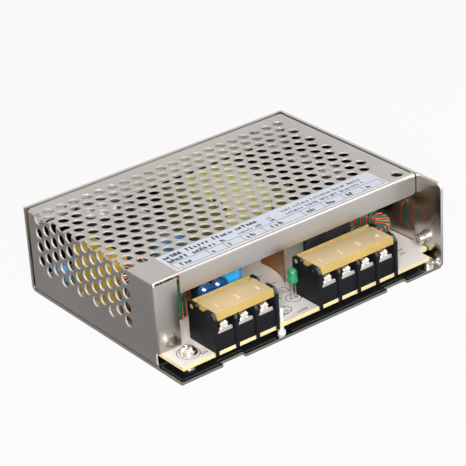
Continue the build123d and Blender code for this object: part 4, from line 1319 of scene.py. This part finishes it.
@dataclass
class TerminalBlock(Assembly):
    """One barrier terminal block: housing, contacts, clamps, screws and hinged lid.

    The middle of its first pole lies at first along X, and the next ones a pitch apart.
    """

    name: str = "input"
    poles: int = 3
    first: float = 0.0
    pitch: float = 9.5
    lid_top: float = 22.35
    numeral: float = 3.6
    relief: float = 0.12
    numeral_edge: float = 0.03
    numeral_y: float = -43.2

    def build(self) -> None:
        """Dress the block's pieces."""
        housing = self.rework(f"{self.name}_housing", HOUSING_BLACK, width=0.22)
        # Painted highlight: the housing's eased edges are painted lighter black
        self.shaper.paint_edges(housing, HOUSING_EDGE_HIGHLIGHT)
        self.rework(f"{self.name}_contacts", CONTACT_TIN, width=0.06)
        for number in range(1, self.poles + 1):
            clamp, screw = f"{self.name}_clamp_{number}", f"{self.name}_screw_{number}"
            self.rework(clamp, CONTACT_TIN, width=0.10, body=clamp)
            self.rework(screw, SCREW_STEEL, width=0.12, body=screw, segments=3)
        lid = self.rework(f"{self.name}_lid", LID_CLEAR, width=0.12, body=f"{self.name}_lid")
        # The lid's top is frosted and painted paler as painted sheen
        self.shaper.paint(lid, LID_FROST_SHEEN, lambda middle, normal: normal.z > FULLY)
        self.shaper.paint_edges(lid, LID_EDGE)
        for number in range(1, self.poles + 1):
            self.number_mark(number)

    def number_mark(self, number: int) -> None:
        """Raise a pole's plain number on the lid.

        Args:
            number: The pole's number, counted from the left.
        """
        curve = bpy.data.curves.new("numeral", "FONT")
        curve.body = str(number)
        curve.size = self.numeral
        curve.align_x, curve.align_y = "CENTER", "CENTER"
        curve.extrude = self.relief / 2
        curve.bevel_depth = self.numeral_edge
        mesh = mesh_of(curve, WELD)
        for vertex in mesh.verts:
            vertex.co += Vector((self.first + (number - 1) * self.pitch, self.numeral_y, self.lid_top))
        self.stand_in(f"{self.name}_lid_number_{number}", mesh, LID_MARK, body=f"{self.name}_lid")


@dataclass
class Lamp(Assembly):
    """Green indicator lamp on its leads.

    The lens has a rim at its base, a round body of its own height and a dome on top.
    """

    x: float = -1.4
    y: float = -36.3
    base: float = 13.9
    radius: float = 1.9
    rim: float = 2.2
    rim_height: float = 0.8
    ease: float = 0.1
    fillet: Flat = (0.05, 0.02)
    body: float = 3.6
    dome_steps: int = 8

    def build(self) -> None:
        """Turn the lens and dress the leads."""
        turns = [step * math.pi / 2 / self.dome_steps for step in range(self.dome_steps)]
        dome = [(self.radius * math.cos(turn), self.body + self.radius * math.sin(turn)) for turn in turns]
        profile = [(0.0, 0.0), (self.rim - self.ease, 0.0), (self.rim, self.ease),
                   (self.rim, self.rim_height - self.ease), (self.rim - self.ease, self.rim_height),
                   (self.radius + self.fillet[0], self.rim_height + self.fillet[1]),
                   (self.radius, self.rim_height + self.ease), *dome, (0.0, self.body + self.radius)]
        mesh = self.shaper.lathe(profile, (self.x, self.y, self.base), steps=40)
        self.stand_in("lamp_lens", mesh, LAMP_GREEN, "led_lens")
        self.rework("led_leads", LEAD_TIN, width=0.06)


@dataclass
class RingChoke(Assembly):
    """Ring core with round wire turns.

    Each turn is bent round the core's corners, leans by a share of the wire's size over the core's
    height and is drawn a little thinner than the wire, so that the next one doesn't touch it.
    """

    x: float = 0.0
    y: float = 0.0
    outer: float = 25.0
    inner: float = 14.0
    bottom: float = 7.6
    height: float = 15.5
    ease: float = 1.2
    core_steps: int = 64
    wire_bend: float = 1.3
    wire_lean: float = 0.5
    wire_share: float = 0.98

    def core(self, node: str, finish: Finish) -> None:
        """Turn the core with eased corners.

        Args:
            node: The node that it stands for.
            finish: Its finish.
        """
        low, high = self.inner / 2, self.outer / 2
        corners = [(low, 0.0), (high, 0.0), (high, self.height), (low, self.height)]
        section = rounded(corners, [self.ease] * 4)
        mesh = self.shaper.lathe([*section, section[0]], (self.x, self.y, self.bottom), self.core_steps)
        bmesh.ops.remove_doubles(mesh, verts=mesh.verts[:], dist=WELD)
        self.stand_in(f"{node}_dressed", mesh, finish, node)

    def turns(self, node: str, finish: Finish, wire: float, angles: Sequence[float]) -> None:
        """Wind round wire turns about the core.

        Args:
            node: The node that they stand for.
            finish: Their finish.
            wire: Diameter of the wire.
            angles: Direction of each turn in degrees.
        """
        low, high = self.inner / 2 - wire / 2, self.outer / 2 + wire / 2
        base, top = -wire / 2, self.height + wire / 2
        ring = rounded([(low, base), (high, base), (high, top), (low, top)], [self.wire_bend] * 4, steps=4)
        lean = self.wire_lean * wire / self.height
        wires: list[bmesh.types.BMesh] = []
        for turn in map(math.radians, angles):
            points = [(self.x + r * math.cos(turn) - (z - self.height / 2) * lean * math.sin(turn),
                       self.y + r * math.sin(turn) + (z - self.height / 2) * lean * math.cos(turn),
                       self.bottom + z) for r, z in ring]
            wires.append(self.shaper.loop(points, wire * self.wire_share))
        self.stand_in(f"{node}_dressed", self.shaper.join(wires), finish, node, smooth=60.0)


@dataclass
class Can(Assembly):
    """Electrolytic capacitor: a shrunk sleeve over a can with a scored top.

    The sleeve's foot is given by insets from the full radius at heights, its curled top edge by
    insets at depths below the top.
    """

    x: float = 0.0
    y: float = 0.0
    size: float = 12.5
    height: float = 25.0
    board: float = 6.5
    foot: Sequence[Flat] = ((0.4, 0.0), (0.0, 0.4), (0.0, 2.3), (0.35, 2.7), (0.5, 2.95), (0.35, 3.2),
                            (0.0, 3.6))
    curl: Sequence[Flat] = ((0.0, 0.9), (0.15, 0.35), (0.5, 0.05), (1.0, 0.02), (1.3, 0.2), (1.35, 0.5))
    cap_inset: float = 1.34
    cap_bottom: float = 0.6
    cap_top: float = 0.3
    cap_edge: float = 0.05
    cap_steps: int = 8
    score: float = 0.12

    def sleeve(self) -> bmesh.types.BMesh:
        """Turn the sleeve, with its foot groove and its curled top edge.

        Returns:
            A closed mesh in millimetres.
        """
        radius = self.size / 2
        profile = [(0.0, 0.0), *((radius - inset, level) for inset, level in self.foot),
                   *((radius - inset, self.height - depth) for inset, depth in self.curl),
                   (0.0, self.height - self.curl[-1][1])]
        return self.shaper.lathe(profile, (self.x, self.y, self.board), steps=48)

    def cap(self) -> list[bmesh.types.BMesh]:
        """Make the bare top inside the sleeve's edge, cut by its two score lines.

        Returns:
            The mesh of each quarter.
        """
        reach = self.size / 2 - self.cap_inset
        turns = [step * math.pi / 2 / self.cap_steps for step in range(1, self.cap_steps)]
        arc = [(self.score, self.score), (reach, self.score),
               *((reach * math.cos(turn), reach * math.sin(turn)) for turn in turns), (self.score, reach)]
        top = self.board + self.height
        parts: list[bmesh.types.BMesh] = []
        for quarter in range(4):
            rotation = Matrix.Rotation(quarter * math.pi / 2, 2)
            outline = [tuple(rotation @ Vector(point)) for point in arc]
            part = self.shaper.prism(outline, top - self.cap_bottom, top - self.cap_top,
                                     lambda u, v, along: (self.x + u, self.y + v, along), self.cap_edge)
            parts.append(part)
        return parts


@dataclass
class InputSide(Assembly):
    """Parts on the input side of the board."""

    choke_turns: int = 14
    choke_span: float = 150.0
    choke_wire: float = 1.1
    inner_discs_from: float = -5.0

    def build(self) -> None:
        """Dress the input side's parts."""
        choke = RingChoke(self.shaper, self.nodes, x=-45.5, y=-8.5)
        choke.core("choke_core", CORE_GREEN)
        step = self.choke_span / (self.choke_turns - 1)
        angles = [side + step * turn - self.choke_span / 2
                  for side in (0, 180) for turn in range(self.choke_turns)]
        choke.turns("choke_winding", COPPER_WIRE, self.choke_wire, angles)
        self.rework("x_capacitor", YELLOW_BOX, width=0.35, segments=3)
        discs = self.rework("disc_capacitors", DISC_BLUE, width=0.45, segments=3)
        self.shaper.paint(discs, DISC_PALE, lambda middle, normal: middle.y > self.inner_discs_from)
        self.rework("fuse", FUSE_BLACK, width=0.4, segments=3)
        self.rework("bridge_rectifier", RESIN_BLACK, width=0.25)
        aux = Can(self.shaper, self.nodes, x=-20.9, y=-22.4, size=10.2, height=20.0)
        self.stand_in("aux_capacitor_dressed", aux.sleeve(), SLEEVE_BLUE, "aux_capacitor")
        self.stand_in("aux_capacitor_top", self.shaper.join(aux.cap()), CAN_TOP)
        bulk = Can(self.shaper, self.nodes, x=-39.9, y=35.0, size=18.0, height=26.0)
        self.stand_in("bulk_capacitor_dressed", bulk.sleeve(), SLEEVE_BLACK, "bulk_capacitor")
        self.stand_in("bulk_capacitor_top", self.shaper.join(bulk.cap()), CAN_TOP)


@dataclass
class Transformer(Assembly):
    """Taped transformer on its bobbin, with the outer tape that goes over its middle.

    The outer tape lies between left and right, the side tape on the yoke at the left; the side tape and the
    tape band are painted darker yellow as painted shade. A printed row has its left end, its base line and
    its length.
    """

    left: float = 1.6
    right: float = 23.6
    front: float = 6.55
    yoke_left: float = -5.15
    yoke_top: float = 28.0
    yoke_end: float = 0.7
    back: float = 40.45
    foot: float = 9.5
    shoulder: float = 28.2
    top: float = 30.62
    crest_front: float = 12.0
    crest_back: float = 35.0
    sheet: float = 0.12
    outer_bends: Sequence[float] = (0.0, 0.6, 2.0, 2.0, 0.6, 0.0)
    inner_bends: Sequence[float] = (0.0, 0.5, 1.9, 1.9, 0.5, 0.0)
    side_inset: float = 0.6
    side_sunk: float = 0.02
    side_edge: float = 0.04
    rows: Sequence[tuple[float, float, float]] = (
        (5.0, 29.0, 9.0), (6.0, 25.6, 12.0), (14.5, 31.5, 8.0), (16.0, 18.5, 6.0))
    leg_heights: tuple[float, ...] = (1.0, 1.5)
    leg: float = 0.35
    arm: float = 0.9
    stroke: float = 0.3
    advance: float = 1.3
    sunk: float = 0.05
    ink: float = 0.02
    seed: int = 5

    def build(self) -> None:
        """Dress the core, bobbin, winding and tape."""
        self.rework("transformer_core", FERRITE_DARK, width=0.3)
        self.rework("transformer_bobbin", BOBBIN_BLACK, width=0.2)
        self.rework("transformer_winding", TAPE_YELLOW, width=0.25)
        # Painted shade: the tape band is painted darker yellow
        self.rework("transformer_tape", TAPE_PAINTED_SHADE, width=0.12)
        self.wrap()
        self.print_marks()

    def wrap(self) -> None:
        """Lay the outer tape from the front face over the top to the back face."""
        outer, inner = (
            rounded([(self.front - out, self.foot), (self.front - out, self.shoulder),
                     (self.crest_front, self.top + out), (self.crest_back, self.top + out),
                     (self.back + out, self.shoulder), (self.back + out, self.foot)], bends)
            for out, bends in ((self.sheet, self.outer_bends), (0.0, self.inner_bends)))
        mesh = self.shaper.prism([*outer, *reversed(inner)], self.left, self.right,
                                 lambda u, v, along: (along, u, v))
        self.stand_in("transformer_outer_tape", mesh, TAPE_YELLOW, smooth=60.0)
        # The side tape on the yoke is painted darker yellow as painted shade
        low = (self.yoke_left, self.front + self.side_inset, self.yoke_top - self.side_sunk)
        high = (self.yoke_end, self.back - self.side_inset, self.yoke_top + self.sheet)
        self.stand_in("transformer_side_tape", self.shaper.box(low, high, self.side_edge), TAPE_PAINTED_SHADE)

    def print_marks(self) -> None:
        """Print short unreadable rows on the outer tape."""
        chance = random.Random(self.seed)
        low, high = self.top + self.sheet - self.sunk, self.top + self.sheet + self.ink
        marks: list[bmesh.types.BMesh] = []
        for x, y, length in self.rows:
            at = x
            while at < x + length:
                tall = chance.choice(self.leg_heights)
                marks.append(self.shaper.box((at, y, low), (at + self.leg, y + tall, high)))
                level = y + chance.choice([0.0, tall / 2, tall - self.stroke])
                marks.append(self.shaper.box((at, level, low), (at + self.arm, level + self.stroke, high)))
                at += self.advance
        self.stand_in("transformer_tape_print", self.shaper.join(marks), TAPE_MARK)


@dataclass
class HeatSinks(Assembly):
    """Heat sinks with what is screwed to them, and the film beside them."""

    def build(self) -> None:
        """Dress the sinks, their devices and the film."""
        self.rework("primary_heatsink", SINK_BARE, width=0.15)
        self.rework("output_heatsink", SINK_BLACK, width=0.15)
        self.rework("power_transistor", RESIN_BLACK, width=0.15)
        self.rework("output_rectifier", RESIN_BLACK, width=0.15)
        self.rework("heatsink_screws", SCREW_STEEL, width=0.12)
        self.rework("film_barrier", BARRIER_BROWN, width=0.03)
        self.rework("control_chip", RESIN_BLACK, width=0.12)


@dataclass
class OutputSide(Assembly):
    """Ring choke and capacitors of the output side."""

    turns: int = 12
    wire: float = 1.0
    can_x: float = 48.5
    first_can: float = -2.0
    can_pitch: float = 17.5
    cans: int = 3

    def build(self) -> None:
        """Dress the output side's parts."""
        choke = RingChoke(self.shaper, self.nodes, x=47.5, y=-21.4, outer=19.6, inner=10.4, bottom=7.5,
                          height=8.4)
        choke.core("output_choke_core", CORE_GREY)
        step = 360 / (2 * self.turns)
        windings = (("output_choke_red", WIRE_RED), ("output_choke_green", WIRE_GREEN))
        for first, (node, finish) in enumerate(windings):
            angles = [step * (first + 2 * turn) for turn in range(self.turns)]
            choke.turns(node, finish, self.wire, angles)
        cans = [Can(self.shaper, self.nodes, self.can_x, self.first_can + self.can_pitch * number)
                for number in range(self.cans)]
        sleeves = self.shaper.join(can.sleeve() for can in cans)
        self.stand_in("output_capacitors_dressed", sleeves, SLEEVE_BLACK, "output_capacitors")
        caps = self.shaper.join(part for can in cans for part in can.cap())
        self.stand_in("output_capacitor_tops", caps, CAN_TOP)


# Studio
@dataclass
class StudioLamp:
    """One soft lamp of the studio."""

    name: str
    place: Point
    aim: Point
    size: float
    power: float
    colour: Colour


@dataclass
class Studio:
    """Camera, floor, world and soft lamps.

    Looked at straight or through the lids, the floor is mostly plain white. Bright metal mirrors it
    darkened to its side level as painted shade, which rises to its front level between the two places along
    Y.
    """

    place: Point = (-0.41956, -0.56015, 0.38414)
    azimuth: float = 36.767
    elevation: float = 27.475
    roll: float = -3.423
    lens: float = 156.54
    sensor: float = 36.0
    clips: tuple[float, float] = (0.05, 20.0)
    world: float = 0.22
    floor_half: float = 6.0
    floor_drop: float = 0.0003
    floor_roughness: float = 0.8
    floor_colour: Colour = (0.56, 0.56, 0.56)
    seen_share: float = 0.92
    # Painted shade: levels at which bright metal sees the floor, darker at the side than at the front
    side_level: float = 0.37
    front_level: float = 1.0
    front_starts: float = -0.050
    front_full: float = -0.085
    lamps: Sequence[StudioLamp] = (
        StudioLamp("key_lamp", (-0.53, -0.73, 0.50), (0.0, 0.0, 0.02), 0.45, 12.6, (1.0, 0.985, 0.96)),
        StudioLamp("side_lamp", (0.62, -0.45, 0.70), (0.0, 0.0, 0.02), 0.55, 1.8, (1.0, 0.985, 0.96)),
        StudioLamp("front_lamp", (0.05, -1.0, 0.45), (0.0, -0.02, 0.02), 0.70, 1.2, (1.0, 0.97, 0.93)),
    )

    def build(self) -> None:
        """Set up everything around the object."""
        self.camera()
        self.floor()
        self.sky()
        for lamp in self.lamps:
            self.lamp(lamp)
        bpy.context.scene.view_settings.view_transform = "Standard"

    def camera(self) -> None:
        """Place the camera at the photograph's angle."""
        data = bpy.data.cameras.new("camera")
        data.sensor_width = self.sensor
        data.lens = self.lens
        data.clip_start, data.clip_end = self.clips
        camera = bpy.data.objects.new("camera", data)
        bpy.context.scene.collection.objects.link(camera)
        azimuth, down, roll = (math.radians(value) for value in (self.azimuth, self.elevation, self.roll))
        ahead = Vector((math.sin(azimuth) * math.cos(down), math.cos(azimuth) * math.cos(down),
                        -math.sin(down)))
        level = ahead.cross(Vector((0.0, 0.0, 1.0))).normalized()
        upright = level.cross(ahead)
        across = level * math.cos(roll) + upright * math.sin(roll)
        up = upright * math.cos(roll) - level * math.sin(roll)
        turned = Matrix((across, up, -ahead)).transposed().to_4x4()
        camera.matrix_world = Matrix.Translation(Vector(self.place)) @ turned
        bpy.context.scene.camera = camera

    def floor(self) -> None:
        """Lay a plain pale floor that keeps the object's shadow."""
        mesh = bmesh.new()
        bmesh.ops.create_grid(mesh, x_segments=1, y_segments=1, size=self.floor_half)
        data = bpy.data.meshes.new("floor")
        mesh.to_mesh(data)
        mesh.free()
        floor = bpy.data.objects.new("floor", data)
        floor.location.z = -self.floor_drop
        bpy.context.scene.collection.objects.link(floor)
        data.materials.append(self.floor_finish())

    def floor_finish(self) -> bpy.types.Material:
        """Build the floor's material, which bright metal sees darkened by painted shade behind the front.

        Returns:
            The material.
        """
        material = bpy.data.materials.new("floor_pale")
        material.use_nodes = True
        sheet = NodeSheet(material.node_tree)
        shader = material.node_tree.nodes["Principled BSDF"]
        shader.inputs["Base Color"].default_value = (*self.floor_colour, 1.0)
        shader.inputs["Roughness"].default_value = self.floor_roughness
        place = sheet.add("ShaderNodeSeparateXYZ")
        sheet.link(sheet.place(), place.inputs[0])
        level = sheet.add("ShaderNodeMapRange")
        sheet.link(place.outputs["Y"], level.inputs["Value"])
        for socket, value in (("From Min", self.front_starts), ("From Max", self.front_full),
                              ("To Min", self.side_level), ("To Max", self.front_level)):
            level.inputs[socket].default_value = value
        glow = sheet.add("ShaderNodeEmission")
        glow.inputs["Color"].default_value = (1.0, 1.0, 1.0, 1.0)
        path = sheet.add("ShaderNodeLightPath")
        glossy = path.outputs["Is Glossy Ray"]
        seen = sheet.math("MAXIMUM", path.outputs["Is Camera Ray"], path.outputs["Is Transmission Ray"])
        direct = sheet.math("MULTIPLY", seen, self.seen_share)
        # Painted shade in reflections: glossy rays see the floor darker away from the front
        painted_reflection_shade = sheet.math("MULTIPLY", glossy, sheet.math("SUBTRACT", 1.0, level.outputs["Result"]))
        sheet.link(sheet.math("SUBTRACT", 1.0, painted_reflection_shade), glow.inputs["Strength"])
        mix = sheet.add("ShaderNodeMixShader")
        sheet.link(sheet.math("MAXIMUM", direct, glossy), mix.inputs[0])
        sheet.link(shader.outputs[0], mix.inputs[1])
        sheet.link(glow.outputs[0], mix.inputs[2])
        sheet.link(mix.outputs[0], material.node_tree.nodes["Material Output"].inputs["Surface"])
        return material

    def sky(self) -> None:
        """Fill the world with even soft light, which shows as white itself."""
        world = bpy.data.worlds.new("studio")
        world.use_nodes = True
        sheet = NodeSheet(world.node_tree)
        light = world.node_tree.nodes["Background"]
        light.inputs["Color"].default_value = (1.0, 1.0, 1.0, 1.0)
        path = sheet.add("ShaderNodeLightPath")
        bent = sheet.math("MAXIMUM", path.outputs["Is Glossy Ray"], path.outputs["Is Transmission Ray"])
        seen = sheet.math("MAXIMUM", path.outputs["Is Camera Ray"], bent)
        raised = sheet.math("MULTIPLY", seen, 1.0 - self.world)
        sheet.link(sheet.math("ADD", raised, self.world), light.inputs["Strength"])
        bpy.context.scene.world = world

    def lamp(self, lamp: StudioLamp) -> None:
        """Hang one soft lamp.

        Args:
            lamp: Its place, aim, size, power and colour.
        """
        data = bpy.data.lights.new(lamp.name, "AREA")
        data.shape = "DISK"
        data.size = lamp.size
        data.energy = lamp.power
        data.color = lamp.colour
        thing = bpy.data.objects.new(lamp.name, data)
        thing.location = lamp.place
        ahead = Vector(lamp.aim) - Vector(lamp.place)
        thing.rotation_euler = ahead.to_track_quat("-Z", "Y").to_euler()
        bpy.context.scene.collection.objects.link(thing)


def main() -> None:
    """Build the object's pieces in order, then the studio."""
    logging.basicConfig(level=logging.INFO, format="%(name)s: %(message)s")
    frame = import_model()
    nodes = frame["nodes"]
    shaper = Shaper(EffectLibrary())
    assemblies: list[Assembly] = [
        Chassis(shaper, nodes),
        Cover(shaper, nodes),
        Label(shaper, nodes),
        Board(shaper, nodes),
        TerminalBlock(shaper, nodes, name="input", poles=3, first=-42.75),
        TerminalBlock(shaper, nodes, name="output", poles=4, first=6.85),
        Lamp(shaper, nodes),
        InputSide(shaper, nodes),
        Transformer(shaper, nodes),
        HeatSinks(shaper, nodes),
        OutputSide(shaper, nodes),
    ]
    for assembly in assemblies:
        LOG.info("building %s", type(assembly).__name__)
        assembly.build()
    Studio().build()


if __name__ == "__main__":
    main()
